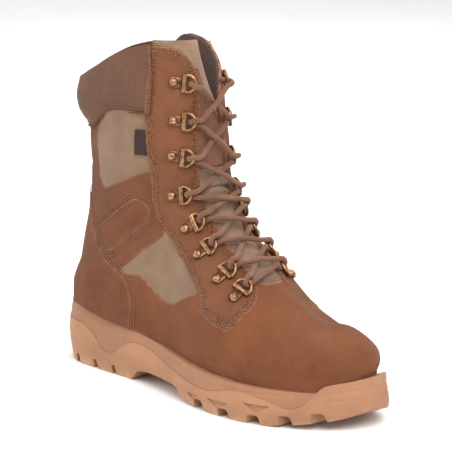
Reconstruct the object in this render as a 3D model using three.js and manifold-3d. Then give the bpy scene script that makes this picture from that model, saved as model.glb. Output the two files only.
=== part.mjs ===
// Combat boot for the right foot: a laced suede upper over a moulded rubber sole.
// Millimetres. While it is built, X runs from the back of the heel to the toe, Y from the
// lateral side (negative) to the medial side, and Z up from the ground that the lugs stand on.
import * as THREE from "three";
import { mergeVertices } from "three/addons/utils/BufferGeometryUtils.js";
import Module from "manifold-3d";

const wasm = await Module();
wasm.setup();

// Driving sizes
const LENGTH = 304; // sole, heel to toe
const GAP = 0.3; // between neighbouring pieces
const WALL = 2.6; // upper: leather, backing and lining
const PAD = 5.5; // foam that the collar adds to the wall
const PAD_FROM = 196; // height where the padded collar starts
const PAD_FULL = 212; // height where it reaches its full thickness
const INSOLE_THICK = 4;
const TONGUE_THICK = 3.4;
const TONGUE_GAP = 1.6; // between the tongue and the upper's wall
const LACE_RADIUS = 1.9;
const LACE_LIFT = 0.7; // the strands' room above the tongue and over the rings' bars
const LUG_DEPTH = 6;
const CHANNEL_DEPTH = 4;
const WIDE = 200; // across the whole boot, for blocks that cut it
const BELOW = 3; // how far a tread cutter reaches under the lugs
const SIDES = 24; // points round one section of the upper

// The shaft's oval at each height: back and front ends, and half its width.
const SHAFT = [
  { z: 40, back: 5, front: 122, half: 36 },
  { z: 60, back: 5.5, front: 132, half: 37.5 },
  { z: 80, back: 8, front: 138, half: 38 },
  { z: 100, back: 12, front: 140, half: 37 },
  { z: 120, back: 16, front: 141, half: 36.5 },
  { z: 140, back: 19, front: 142, half: 38 },
  { z: 160, back: 20.8, front: 142, half: 40.4 },
  { z: 182, back: 20.6, front: 141, half: 42.7 },
  { z: 192, back: 18, front: 139, half: 43 },
  { z: 205, back: 12.4, front: 137, half: 42.6 },
  { z: 222, back: 7.3, front: 134.6, half: 42.7 },
  { z: 240, back: 5, front: 132, half: 41.8 },
  { z: 300, back: 7, front: 125, half: 41 },
];

// The foot along its length: height of the ridge, half widths, and how far the ridge leans inwards.
const FOOT = [
  { x: 6, ridge: 60, lateral: 0, medial: 0, lean: 0 },
  { x: 12, ridge: 70, lateral: 19, medial: 19, lean: 0 },
  { x: 25, ridge: 80, lateral: 30, medial: 30, lean: 0 },
  { x: 50, ridge: 88, lateral: 36.5, medial: 35.5, lean: 0 },
  { x: 80, ridge: 100, lateral: 37.5, medial: 35, lean: 0 },
  { x: 110, ridge: 125, lateral: 39, medial: 34.5, lean: 0 },
  { x: 135, ridge: 146, lateral: 42, medial: 36.5, lean: 1 },
  { x: 150, ridge: 138, lateral: 44.5, medial: 39, lean: 1 },
  { x: 167, ridge: 123, lateral: 48.5, medial: 42.5, lean: 0 },
  { x: 186, ridge: 109, lateral: 51.5, medial: 46.5, lean: -1 },
  { x: 201, ridge: 96.5, lateral: 53, medial: 48.5, lean: -2 },
  { x: 220, ridge: 82.5, lateral: 52.5, medial: 49, lean: -2 },
  { x: 240, ridge: 72.5, lateral: 48.5, medial: 47, lean: 0 },
  { x: 260, ridge: 65, lateral: 40.5, medial: 43, lean: 2 },
  { x: 275, ridge: 58.5, lateral: 31.5, medial: 37, lean: 3 },
  { x: 286, ridge: 51.5, lateral: 21.5, medial: 29, lean: 4 },
  { x: 292.5, ridge: 45, lateral: 13, medial: 20, lean: 4 },
  { x: 296, ridge: 40, lateral: 0, medial: 0, lean: 4 },
];
const WIDEST = [
  { x: 6, z: 62 },
  { x: 60, z: 60 },
  { x: 150, z: 52 },
  { x: 240, z: 44 },
  { x: 296, z: 41 },
];

// The fan of sections: flat across the shaft, upright across the toes, centred inside the boot.
const FAN = [
  { row: 0, x: 74, z: 285, tilt: 0 },
  { row: 4, x: 79, z: 190, tilt: 8 },
  { row: 7, x: 87, z: 130, tilt: 27 },
  { row: 9, x: 97, z: 95, tilt: 50 },
  { row: 12, x: 140, z: 62, tilt: 75 },
  { row: 15, x: 194, z: 53, tilt: 87 },
  { row: 18, x: 246, z: 46, tilt: 90 },
  { row: 21, x: 280, z: 42, tilt: 90 },
  { row: 24, x: 295, z: 39.5, tilt: 90 },
];

// Top edge of the collar.
const COLLAR = [
  { x: -20, z: 219 },
  { x: 10, z: 220 },
  { x: 25, z: 223 },
  { x: 49, z: 233.5 },
  { x: 80, z: 250 },
  { x: 110, z: 264.5 },
  { x: 122, z: 268 },
  { x: 132, z: 265 },
  { x: 160, z: 252 },
];

// Edges of the throat across each row of the fan, down to its rounded end on the vamp.
const THROAT = [
  { row: 0, lateral: -44, medial: 48 },
  { row: 1, lateral: -18, medial: 46 },
  { row: 1.5, lateral: -9.5, medial: 40 },
  { row: 2, lateral: -7.5, medial: 33 },
  { row: 3, lateral: -9, medial: 22 },
  { row: 4, lateral: -12.5, medial: 17 },
  { row: 5, lateral: -14, medial: 16 },
  { row: 8, lateral: -15, medial: 16 },
  { row: 12, lateral: -15.5, medial: 17 },
  { row: 15, lateral: -16.5, medial: 16 },
  { row: 15.7, lateral: -12.5, medial: 12 },
  { row: 16, lateral: -4, medial: 4 },
];

// Edges of the tongue; its free top end has slid towards the lateral side.
const TONGUE = [
  { row: 1.2, lateral: 50, medial: -8 },
  { row: 2, lateral: 50, medial: -1 },
  { row: 2.7, lateral: 48, medial: 6 },
  { row: 3.3, lateral: 47, medial: 14 },
  { row: 4, lateral: 46, medial: 24 },
  { row: 5, lateral: 44, medial: 34 },
  { row: 9, lateral: 42, medial: 42 },
  { row: 13, lateral: 38, medial: 40 },
  { row: 16.8, lateral: 34, medial: 36 },
];

// Outline of the sole, once round from the back of the heel along the lateral side.
const OUTLINE = [
  { x: 0, y: 0 },
  { x: 6, y: -22 },
  { x: 24, y: -36.5 },
  { x: 60, y: -40 },
  { x: 100, y: -41 },
  { x: 140, y: -47 },
  { x: 185, y: -57 },
  { x: 225, y: -57 },
  { x: 262, y: -44 },
  { x: 290, y: -22 },
  { x: 303, y: 4 },
  { x: 298, y: 30 },
  { x: 275, y: 46 },
  { x: 235, y: 53 },
  { x: 195, y: 49 },
  { x: 150, y: 40 },
  { x: 105, y: 36.5 },
  { x: 60, y: 38.5 },
  { x: 24, y: 36 },
  { x: 6, y: 22 },
];
// How far the sole's wall stands in from that outline, by share of the height of its top edge.
const SOLE_WALL = [
  { share: 0, inset: 4 },
  { share: 0.22, inset: 2 },
  { share: 0.5, inset: 0.4 },
  { share: 0.8, inset: 1.2 },
  { share: 1.05, inset: 2.8 },
  { share: 1.6, inset: 3.4 },
];
// Heights along the sole: its top edge, the wavy line between midsole and outsole, the underside.
const SOLE_TOP = [
  { x: -10, z: 47 },
  { x: 30, z: 46.5 },
  { x: 64, z: 42.5 },
  { x: 116, z: 37 },
  { x: 158, z: 32 },
  { x: 200, z: 29 },
  { x: 250, z: 27.5 },
  { x: 310, z: 27.5 },
];
const PARTING = [
  { x: -10, z: 34.5 },
  { x: 34, z: 34.5 },
  { x: 49, z: 29.5 },
  { x: 66, z: 16.5 },
  { x: 74, z: 17.5 },
  { x: 92, z: 29 },
  { x: 108, z: 31 },
  { x: 150, z: 22.5 },
  { x: 193, z: 17.5 },
  { x: 228, z: 23 },
  { x: 246, z: 21 },
  { x: 266, z: 15.5 },
  { x: 281, z: 25 },
  { x: 310, z: 26.5 },
];
const UNDERSIDE = [
  { x: -10, z: 5 },
  { x: 0, z: 4 },
  { x: 12, z: 0 },
  { x: 92, z: 0 },
  { x: 103, z: 9 },
  { x: 122, z: 11.5 },
  { x: 157, z: 10.5 },
  { x: 160, z: 3.5 },
  { x: 190, z: 0.6 },
  { x: 200, z: 0 },
  { x: 240, z: 0 },
  { x: 262, z: 2.5 },
  { x: 280, z: 5.5 },
  { x: 295, z: 9.5 },
  { x: 310, z: 20 },
];
const BUMPER_TOP = [
  { x: 270, z: 27 },
  { x: 284, z: 33 },
  { x: 295, z: 36 },
  { x: 310, z: 40 },
];

// Grooves between the lugs: where each starts and its width along the sole.
const GROOVES = [
  { x: 28, width: 4 },
  { x: 49.5, width: 4 },
  { x: 71.5, width: 4 },
  { x: 181, width: 10 },
  { x: 208.5, width: 10 },
  { x: 234.5, width: 10 },
  { x: 258.5, width: 8.5 },
  { x: 279, width: 8 },
];

// Eyelets, top to bottom, one row for each pair: where the bar of each side sits on the upper,
// and which way its ring points, as shares forwards, towards the throat and upwards.
const EYELETS = [
  { lateral: [130, -20.5, 232], medial: [127.5, 25, 230.5], heading: [0.64, 0.76, -0.1] },
  { lateral: [133, -23, 204], medial: [131, 23, 202.5], heading: [0.68, 0.73, -0.05] },
  { lateral: [135, -26, 177.5], medial: [135.5, 22.5, 174], heading: [0.75, 0.65, -0.1] },
  { lateral: [137, -28.5, 149.5], medial: [140, 22, 149.5], heading: [0.9, 0.4, 0.15] },
  { lateral: [150, -27.5, 130.5], medial: [150, 21.5, 135], heading: [0.66, 0.55, 0.5] },
  { lateral: [166, -30, 115.5], medial: [163, 20.5, 120.5], heading: [0.48, 0.68, 0.56] },
  { lateral: [188.5, -31.5, 101.5], medial: [180.5, 21, 106.5], heading: [0.25, 0.8, 0.55] },
  { lateral: [205, -31, 91.5], medial: [197.5, 21.5, 96], heading: [0.05, 0.84, 0.53] },
];
// Channels along the tread, beside its middle row of lugs.
const CHANNELS = [
  { from: 168, to: 275, y: -24, width: 5 },
  { from: 168, to: 275, y: 22, width: 5 },
  { from: 12, to: 88, y: -16, width: 4 },
  { from: 12, to: 88, y: 16, width: 4 },
];
const BUMPER_FROM = 283; // the outsole covers the toe from here
const SEAT = 0.7; // an eyelet's plate above the leather
const PLATE = { length: 11.8, width: 7.5, thick: 1.2 };
const RIVET = { radius: 3.6, height: 2.6 };
const BAR = { radius: 1.9, length: 13.5 };
const LOOP = { wire: 1.1, reach: 8.5, half: 6.4 };

const SUEDE = { color: 0x8a5c47, roughness: 0.95, metalness: 0 };
const CANVAS = { color: 0xa0846c, roughness: 1, metalness: 0 };
const MIDSOLE_RUBBER = { color: 0xaa8064, roughness: 0.8, metalness: 0 };
const OUTSOLE_RUBBER = { color: 0xb88a6b, roughness: 0.75, metalness: 0 };
const FOAM = { color: 0x4a3c38, roughness: 1, metalness: 0 };
const BRASS = { color: 0xa88560, roughness: 0.35, metalness: 0.9 };
const CORD = { color: 0x865a48, roughness: 0.9, metalness: 0 };

const boot = new THREE.Group();

function addPiece(name, solid, finish) {
  const { vertProperties, triVerts } = solid.getMesh();
  const geometry = new THREE.BufferGeometry();
  geometry.setAttribute("position", new THREE.BufferAttribute(vertProperties, 3));
  geometry.setIndex(new THREE.BufferAttribute(triVerts, 1));
  geometry.computeVertexNormals();
  const mesh = new THREE.Mesh(geometry, new THREE.MeshStandardMaterial(finish));
  mesh.name = name;
  boot.add(mesh);
}

// A closed three.js geometry as a solid that can be cut and joined.
function solidOf(geometry, matrix = new THREE.Matrix4()) {
  const plain = geometry.clone().applyMatrix4(matrix);
  plain.deleteAttribute("normal");
  plain.deleteAttribute("uv");
  const merged = mergeVertices(plain, 1e-4);
  const mesh = new wasm.Mesh({
    numProp: 3,
    vertProperties: merged.attributes.position.array,
    triVerts: new Uint32Array(merged.index.array),
  });
  return new wasm.Manifold(mesh);
}

// A closed solid through rings of points, each ring closed by a fan at the two ends.
function loft(rings) {
  const sides = rings[0].length;
  const points = rings.flat();
  const triangles = [];
  const at = (ring, side) => ring * sides + (side % sides);
  for (let ring = 0; ring < rings.length - 1; ring++) {
    for (let side = 0; side < sides; side++) {
      const [a, b] = [at(ring, side), at(ring, side + 1)];
      const [c, d] = [at(ring + 1, side + 1), at(ring + 1, side)];
      triangles.push(a, b, c, a, c, d);
    }
  }
  for (const [ring, flip] of [[0, true], [rings.length - 1, false]]) {
    const centre = new THREE.Vector3();
    rings[ring].forEach((p) => centre.addScaledVector(p, 1 / sides));
    points.push(centre);
    for (let side = 0; side < sides; side++) {
      const edge = [at(ring, side), at(ring, side + 1)];
      if (flip) edge.reverse();
      triangles.push(edge[0], edge[1], points.length - 1);
    }
  }
  const geometry = new THREE.BufferGeometry().setFromPoints(points);
  geometry.setIndex(triangles);
  const solid = solidOf(geometry);
  if (solid.volume() > 0) return solid;
  for (let i = 0; i < triangles.length; i += 3) {
    [triangles[i + 1], triangles[i + 2]] = [triangles[i + 2], triangles[i + 1]];
  }
  geometry.setIndex(triangles);
  return solidOf(geometry);
}

// A smooth curve without overshoot through one column of a table, against its key column.
function along(table, key, column) {
  const k = table.map((row) => row[key]);
  const v = table.map((row) => row[column]);
  const rise = k.slice(1).map((next, i) => (v[i + 1] - v[i]) / (next - k[i]));
  const slope = v.map((_, i) => {
    const [before, after] = [rise[i - 1] ?? rise[i], rise[i] ?? rise[i - 1]];
    return before * after > 0 ? (2 * before * after) / (before + after) : 0;
  });
  return (at) => {
    const t = THREE.MathUtils.clamp(at, k[0], k[k.length - 1]);
    let i = k.findIndex((next) => next > t) - 1;
    if (i < 0) i = k.length - 2;
    const span = k[i + 1] - k[i];
    const s = (t - k[i]) / span;
    return v[i] * (1 + 2 * s) * (1 - s) ** 2 + v[i + 1] * s * s * (3 - 2 * s)
      + span * (slope[i] * s * (1 - s) ** 2 - slope[i + 1] * s * s * (1 - s));
  };
}

// The last: a smooth join of the shaft's oval and the foot. Negative inside, about zero on it.
const shaft = {
  back: along(SHAFT, "z", "back"),
  front: along(SHAFT, "z", "front"),
  half: along(SHAFT, "z", "half"),
};
// Half widths run through their squares, which closes the heel and the toe in a round.
function rounded(column) {
  const square = along(FOOT.map((row) => ({ x: row.x, y: row[column] ** 2 })), "x", "y");
  return (x) => Math.sqrt(square(x));
}
const foot = {
  ridge: along(FOOT, "x", "ridge"),
  lateral: rounded("lateral"),
  medial: rounded("medial"),
  lean: along(FOOT, "x", "lean"),
  widest: along(WIDEST, "x", "z"),
};
const ROUND = 2.15; // sections of the last: 2 is an ellipse, more is squarer
const BLEND = 22; // radius of the join at the instep
const FLOOR = 14; // the form ends here, well under the sole's top edge
const OVAL = 42; // turns an oval's share into millimetres, near enough to blend with

function shaftField(x, y, z) {
  const [back, front, half] = [shaft.back(z), shaft.front(z), shaft.half(z)];
  const reach = (front - back) / 2;
  const across = Math.abs(x - (back + front) / 2) / reach;
  const out = (across ** ROUND + (Math.abs(y) / half) ** ROUND) ** (1 / ROUND);
  return (out - 1) * OVAL;
}

function footField(x, y, z) {
  const [first, last] = [FOOT[0].x, FOOT[FOOT.length - 1].x];
  const inside = THREE.MathUtils.clamp(x, first + 0.01, last - 0.01);
  const ridge = foot.ridge(inside);
  const widest = Math.min(foot.widest(inside), ridge - 4);
  const side = y - foot.lean(inside) * THREE.MathUtils.smoothstep(z, 30, 90);
  const half = (side < 0 ? foot.lateral(inside) : foot.medial(inside)) + 0.001;
  const up = Math.max(z - widest, 0) / (ridge - widest);
  const tuck = 1 - 0.05 * (Math.max(widest - z, 0) / 25) ** 2; // the wall turns in under the foot
  const out = (up ** ROUND + (Math.abs(side) / (half * tuck)) ** ROUND) ** (1 / ROUND);
  return Math.max((out - 1) * OVAL, x - last, first - x);
}

function lastField({ x, y, z }) {
  const [a, b] = [shaftField(x, y, z), footField(x, y, z)];
  const mix = THREE.MathUtils.clamp(0.5 + (b - a) / (2 * BLEND), 0, 1);
  return Math.max(b + (a - b) * mix - BLEND * mix * (1 - mix), FLOOR - z);
}

function slopeAt(point) {
  const step = 0.2;
  const slope = new THREE.Vector3();
  for (const axis of ["x", "y", "z"]) {
    const [plus, minus] = [point.clone(), point.clone()];
    plus[axis] += step;
    minus[axis] -= step;
    slope[axis] = (lastField(plus) - lastField(minus)) / (2 * step);
  }
  return slope;
}

// Moves a nearby point onto the last's surface, or to a height above it.
function settle(point, height = 0) {
  const on = point.clone();
  for (let turn = 0; turn < 8; turn++) {
    const slope = slopeAt(on);
    on.addScaledVector(slope, -lastField(on) / slope.lengthSq());
  }
  return on.addScaledVector(slopeAt(on).normalize(), height);
}

// One section of the fan: its centre, and its axis towards the front or the ridge.
const fan = { x: along(FAN, "row", "x"), z: along(FAN, "row", "z"), tilt: along(FAN, "row", "tilt") };
function section(row) {
  const tilt = THREE.MathUtils.degToRad(fan.tilt(row));
  return {
    centre: new THREE.Vector3(fan.x(row), 0, fan.z(row)),
    axis: new THREE.Vector3(Math.cos(tilt), 0, Math.sin(tilt)),
  };
}

// The point of the last's surface in a section, at an angle from its axis towards the lateral side.
function surfacePoint(row, degrees) {
  const { centre, axis } = section(row);
  const angle = THREE.MathUtils.degToRad(degrees);
  const heading = axis.clone().multiplyScalar(Math.cos(angle));
  heading.y = -Math.sin(angle);
  const at = (distance) => centre.clone().addScaledVector(heading, distance);
  let far = 4;
  while (lastField(at(far)) < 0) far += 4;
  let near = far - 4;
  for (let turn = 0; turn < 14; turn++) {
    const middle = (near + far) / 2;
    if (lastField(at(middle)) < 0) near = middle;
    else far = middle;
  }
  return at(near);
}

// The last as a solid, moved in or out by a height that may depend on the place.
function lastForm(heightAt) {
  const rings = [];
  for (let row = 0; row <= FAN[FAN.length - 1].row; row++) {
    const ring = [];
    for (let side = 0; side < SIDES; side++) {
      const point = surfacePoint(row, (side * 360) / SIDES);
      ring.push(point.clone().addScaledVector(slopeAt(point).normalize(), heightAt(point)));
    }
    rings.push(ring);
  }
  return loft(rings);
}

// A wide block between two curves of the side view.
function blockBetween(low, high, step = 6) {
  const [start, end, reach] = [-38, 340, WIDE / 2];
  const [bottom, top] = [along(low, "x", "z"), along(high, "x", "z")];
  const rings = [];
  for (let x = start; x <= end; x += step) {
    rings.push([
      new THREE.Vector3(x, -reach, bottom(x)),
      new THREE.Vector3(x, reach, bottom(x)),
      new THREE.Vector3(x, reach, top(x)),
      new THREE.Vector3(x, -reach, top(x)),
    ]);
  }
  return loft(rings);
}

const lifted = (table, lift) => table.map(({ x, z }) => ({ x, z: z + lift }));
const level = (z) => [{ x: 0, z }, { x: LENGTH, z }];

// Wall thickness: the collar's foam is on the inside, thickest at the back.
function wallAt({ x, z }) {
  const collar = THREE.MathUtils.smoothstep(z, PAD_FROM, PAD_FULL);
  return WALL + PAD * collar * (1 - THREE.MathUtils.smoothstep(x, 70, 108));
}

// The throat's opening as a solid: in each row of the fan, from inside the boot out past its front.
function throatCutter() {
  const [lateral, medial] = [along(THROAT, "row", "lateral"), along(THROAT, "row", "medial")];
  const [step, inside, outside] = [0.35, 0.5, 1.5]; // rows, then shares of the way to the front
  const rings = [];
  for (let row = 0; row <= THROAT[THROAT.length - 1].row; row += step) {
    const { centre, axis } = section(row);
    const front = surfacePoint(row, 0).distanceTo(centre);
    const start = inside - 0.12 * Math.max(2 - row, 0); // deeper at the collar, which it opens
    rings.push([[start, lateral(row)], [outside, lateral(row)], [outside, medial(row)], [start, medial(row)]]
      .map(([share, y]) => centre.clone().addScaledVector(axis, front * share).setY(y)));
  }
  return loft(rings);
}

function buildUpper() {
  const outer = lastForm(() => 0);
  const inner = lastForm((point) => -wallAt(point));
  const kept = blockBetween(lifted(SOLE_TOP, GAP), COLLAR);
  addPiece("upper", outer.subtract(inner).subtract(throatCutter()).intersect(kept), SUEDE);
}

// The sole's full form, before it is parted into midsole and outsole.
function soleForm() {
  const curve = new THREE.CatmullRomCurve3(
    OUTLINE.map(({ x, y }) => new THREE.Vector3(x, y, 0)), true, "centripetal");
  const steps = 44; // points round the sole
  const top = along(SOLE_TOP, "x", "z");
  return loft(SOLE_WALL.map(({ share, inset }) => Array.from({ length: steps }, (_, i) => {
    const point = curve.getPoint(i / steps);
    const tangent = curve.getTangent(i / steps);
    point.x -= tangent.y * inset;
    point.y += tangent.x * inset;
    return point.setZ(top(point.x) * share);
  })));
}

function box(x, y, z, length, width, height) {
  const geometry = new THREE.BoxGeometry(length, width, height);
  return solidOf(geometry, new THREE.Matrix4().makeTranslation(x, y, z));
}

// Grooves across the tread, and one channel along each side of its middle row of lugs.
function treadCutter() {
  const bottom = along(UNDERSIDE, "x", "z");
  let cutter = null;
  const add = (piece) => (cutter = cutter ? cutter.add(piece) : piece);
  for (const { x, width } of GROOVES) {
    const middle = x + width / 2;
    add(box(middle, 0, bottom(middle) + LUG_DEPTH / 2 - BELOW, width, WIDE, LUG_DEPTH + 2 * BELOW));
  }
  for (const { from, to, y, width } of CHANNELS) {
    add(box((from + to) / 2, y, CHANNEL_DEPTH / 2 - BELOW, to - from, width, CHANNEL_DEPTH + 2 * BELOW));
  }
  return cutter;
}

function buildSole() {
  const form = soleForm();
  const clearance = lastForm(() => GAP);
  const toeBlock = (start) => box(start + 50, 0, 30, 100, WIDE, 60);
  const bumper = form.intersect(blockBetween(level(20), BUMPER_TOP))
    .intersect(toeBlock(BUMPER_FROM));
  const outsole = form.intersect(blockBetween(UNDERSIDE, PARTING)).add(bumper)
    .subtract(clearance).subtract(treadCutter());
  const midsole = form.intersect(blockBetween(lifted(PARTING, GAP), SOLE_TOP))
    .subtract(toeBlock(BUMPER_FROM - GAP));
  addPiece("outsole", outsole, OUTSOLE_RUBBER);
  addPiece("midsole", midsole, MIDSOLE_RUBBER);
}

function buildInsole() {
  const inside = lastForm(() => -WALL - GAP);
  const layer = blockBetween(lifted(SOLE_TOP, GAP), lifted(SOLE_TOP, GAP + INSOLE_THICK), 18);
  addPiece("insole", inside.intersect(layer), FOAM);
}

function buildTongue() {
  const [lateral, medial] = [along(TONGUE, "row", "lateral"), along(TONGUE, "row", "medial")];
  const [first, last] = [TONGUE[0].row, TONGUE[TONGUE.length - 1].row];
  const [sections, across, clear] = [15, 6, WALL + TONGUE_GAP];
  const rings = [];
  for (let i = 0; i <= sections; i++) {
    const row = first + ((last - first) * i) / sections;
    const arc = (depth) => Array.from({ length: across + 1 }, (_, j) => {
      const degrees = lateral(row) - ((lateral(row) + medial(row)) * j) / across;
      const point = surfacePoint(row, degrees);
      return point.addScaledVector(slopeAt(point).normalize(), -depth);
    });
    rings.push([...arc(clear), ...arc(clear + TONGUE_THICK).reverse()]);
  }
  addPiece("tongue", loft(rings), CANVAS);
}

// A round bar along a curve through the given points.
function rod(points, radius, steps, sides = 6) {
  const profile = new THREE.Shape(Array.from({ length: sides }, (_, i) => {
    const angle = (i * 2 * Math.PI) / sides;
    return new THREE.Vector2(radius * Math.cos(angle), radius * Math.sin(angle));
  }));
  const path = new THREE.CatmullRomCurve3(points, false, "centripetal");
  return solidOf(new THREE.ExtrudeGeometry(profile, { steps, extrudePath: path }));
}

// An eyelet as one solid: the riveted plate, the bar that holds the ring, and the D-shaped ring.
// Its own X points at the throat, its Z out of the leather, and its bar is at the origin.
function eyeletSolid() {
  const plate = new THREE.Shape();
  const round = PLATE.width / 2;
  plate.moveTo(0, -round);
  plate.lineTo(0, round);
  plate.lineTo(round - PLATE.length, round);
  plate.absarc(round - PLATE.length, 0, round, Math.PI / 2, (3 * Math.PI) / 2, false);
  const slab = new THREE.ExtrudeGeometry(plate, {
    depth: PLATE.thick, bevelEnabled: false, curveSegments: 3,
  });
  const dome = [[0, 0], [RIVET.radius, 0], [RIVET.radius, 0.35 * RIVET.height],
    [0.7 * RIVET.radius, 0.85 * RIVET.height], [0, RIVET.height]];
  const rivet = new THREE.LatheGeometry(dome.map(([r, h]) => new THREE.Vector2(r, h)), 7);
  const upright = new THREE.Matrix4().makeRotationX(Math.PI / 2)
    .setPosition(round - PLATE.length, 0, PLATE.thick - 0.2); // sunk a little, so that they join
  const bar = new THREE.CylinderGeometry(BAR.radius, BAR.radius, BAR.length, 6);
  const loop = Array.from({ length: 9 }, (_, i) => {
    const angle = ((i - 4) * Math.PI) / 8;
    return new THREE.Vector3(LOOP.reach * Math.cos(angle), LOOP.half * Math.sin(angle), BAR.radius);
  });
  return solidOf(slab)
    .add(solidOf(rivet, upright))
    .add(solidOf(bar, new THREE.Matrix4().makeTranslation(0, 0, BAR.radius)))
    .add(rod(loop, LOOP.wire, 6, 5));
}

// Where an eyelet sits on one side: its place on the leather and its three directions.
function eyeletFrame({ lateral, medial, heading }, side) {
  const place = settle(new THREE.Vector3(...(side < 0 ? lateral : medial)));
  const outward = slopeAt(place).normalize();
  const [forwards, inwards, upwards] = heading;
  const towards = new THREE.Vector3(forwards, -side * inwards, upwards);
  towards.addScaledVector(outward, -towards.dot(outward)).normalize();
  const alongBar = new THREE.Vector3().crossVectors(outward, towards);
  const seat = place.clone().addScaledVector(outward, SEAT);
  return new THREE.Matrix4().makeBasis(towards, alongBar, outward).setPosition(seat);
}

function buildEyelets() {
  const shape = eyeletSolid();
  EYELETS.forEach((eyelet, i) => {
    for (const [side, word] of [[-1, "lateral"], [1, "medial"]]) {
      const placed = shape.transform(eyeletFrame(eyelet, side).elements);
      addPiece(`ring_${word}_${i + 1}`, placed, BRASS);
    }
  });
}

// Where a strand leaves an eyelet's ring, clear of its wire: in the upper or the lower half.
function laceEnd(i, side, half) {
  const frame = eyeletFrame(EYELETS[i], side);
  const upwards = Math.sign(frame.elements[6]);
  const out = LOOP.reach + LOOP.wire + LACE_RADIUS + GAP;
  return new THREE.Vector3(out, half * upwards * (LACE_RADIUS + GAP), BAR.radius + LACE_LIFT)
    .applyMatrix4(frame);
}

// A strand drawn tight from ring to ring, bent over the tongue where that is in its way.
function strand(from, to) {
  const points = [0, 0.25, 0.5, 0.75, 1].map((share) => {
    const straight = from.clone().lerp(to, share);
    const clear = settle(straight, LACE_RADIUS + LACE_LIFT);
    const outward = slopeAt(clear);
    return clear.clone().sub(straight).dot(outward) > 0 ? clear : straight;
  });
  return rod(points, LACE_RADIUS, 4, 5);
}

function buildLaces() {
  for (let i = 0; i < EYELETS.length - 1; i++) {
    const one = strand(laceEnd(i, -1, -1), laceEnd(i + 1, 1, 1));
    const other = strand(laceEnd(i, 1, -1), laceEnd(i + 1, -1, 1));
    addPiece(`lace_crossing_${i + 1}`, one.add(other), CORD);
  }
  const last = EYELETS.length - 1;
  addPiece("lace_bar", strand(laceEnd(last, -1, -1), laceEnd(last, 1, -1)), CORD);
}

buildUpper();
buildSole();
buildInsole();
buildTongue();
buildEyelets();
buildLaces();

// The part's own origin is on the ground, under the middle of the boot.
const middle = new THREE.Box3().setFromObject(boot).getCenter(new THREE.Vector3());
boot.position.set(-middle.x, -middle.y, 0);

export default boot;
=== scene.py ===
# A combat boot for the right foot: suede and canvas upper, padded collar, D-ring lacing, lug sole.
import math

import bmesh
import bpy
import numpy as np
from mathutils import Matrix, Vector
from mathutils.geometry import delaunay_2d_cdt


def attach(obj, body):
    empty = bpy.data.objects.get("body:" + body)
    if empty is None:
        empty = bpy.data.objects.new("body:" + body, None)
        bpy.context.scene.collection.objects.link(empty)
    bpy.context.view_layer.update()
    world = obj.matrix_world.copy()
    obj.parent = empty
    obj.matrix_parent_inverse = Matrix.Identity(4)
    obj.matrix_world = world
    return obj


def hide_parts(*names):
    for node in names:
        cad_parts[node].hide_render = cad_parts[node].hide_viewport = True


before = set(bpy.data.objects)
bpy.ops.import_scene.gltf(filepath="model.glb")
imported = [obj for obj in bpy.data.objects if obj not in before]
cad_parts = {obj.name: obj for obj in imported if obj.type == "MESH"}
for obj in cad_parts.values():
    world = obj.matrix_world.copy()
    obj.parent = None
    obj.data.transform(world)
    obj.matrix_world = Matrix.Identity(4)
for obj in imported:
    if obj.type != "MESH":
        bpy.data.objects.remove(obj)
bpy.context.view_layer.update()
bpy.ops.object.select_all(action="DESELECT")


# ---- The last -----------------------------------------------------------------------------------
# The last is the foot-shaped form that the upper is pulled over: an upright oval for the shaft,
# joined smoothly to a long foot. It isn't a piece of the boot, but every sheet of the upper lies
# at a height over it. Millimetres from the back of the heel; Y is negative on the lateral side.
HEEL = np.array([-151.476, 2.610, 0.0])  # the back of the heel in the boot's own frame

SHAFT = dict(
    z=[40, 60, 80, 100, 120, 140, 160, 182, 192, 205, 222, 240, 300],
    back=[5, 5.5, 8, 12, 16, 19, 20.8, 20.6, 18, 12.4, 7.3, 5, 7],
    front=[122, 132, 138, 140, 141, 142, 142, 141, 139, 137, 134.6, 132, 125],
    half=[36, 37.5, 38, 37, 36.5, 38, 40.4, 42.7, 43, 42.6, 42.7, 41.8, 41],
)
FOOT = dict(
    x=[6, 12, 25, 50, 80, 110, 135, 150, 167, 186, 201, 220, 240, 260, 275, 286, 292.5, 296],
    ridge=[60, 70, 80, 88, 100, 125, 146, 138, 123, 109, 96.5, 82.5, 72.5, 65, 58.5, 51.5, 45, 40],
    lateral=[0, 19, 30, 36.5, 37.5, 39, 42, 44.5, 48.5,
             51.5, 53, 52.5, 48.5, 40.5, 31.5, 21.5, 13, 0],
    medial=[0, 19, 30, 35.5, 35, 34.5, 36.5, 39, 42.5,
            46.5, 48.5, 49, 47, 43, 37, 29, 20, 0],
    lean=[0, 0, 0, 0, 0, 0, 1, 1, 0, -1, -2, -2, 0, 2, 3, 4, 4, 4],
)
WIDEST = dict(x=[6, 60, 150, 240, 296], z=[62, 60, 52, 44, 41])
FAN = dict(
    row=[0, 4, 7, 9, 12, 15, 18, 21, 24, 25],
    x=[74, 79, 87, 97, 140, 194, 246, 280, 295, 295.97],
    z=[285, 190, 130, 95, 62, 53, 46, 42, 39.5, 39.3],
    tilt=[0, 8, 27, 50, 75, 87, 90, 90, 90, 90],
)
COLLAR = dict(
    x=[-20, 10, 25, 49, 80, 98, 107, 122, 160],
    z=[221, 222.5, 225.8, 236.2, 252.3, 259.5, 262, 264, 262],
)
COLLAR_MEDIAL = dict(
    x=[-20, 10, 25, 49, 74, 85, 94, 105, 116, 124, 160],
    z=[221, 222.5, 225.8, 239, 257, 256, 252.5, 246, 240, 236, 215],
)
SOLE_TOP = dict(
    x=[-10, 30, 64, 116, 158, 200, 250, 310],
    z=[47, 46.5, 42.5, 37, 32, 29, 27.5, 27.5],
)
# How square the ovals are, their size in millimetres, how softly the shaft and the foot join, and
# how steep the heel's back is, which keeps a fin off it.
ROUND, OVAL, BLEND, STEEP = 2.15, 42, 22, 60


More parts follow.
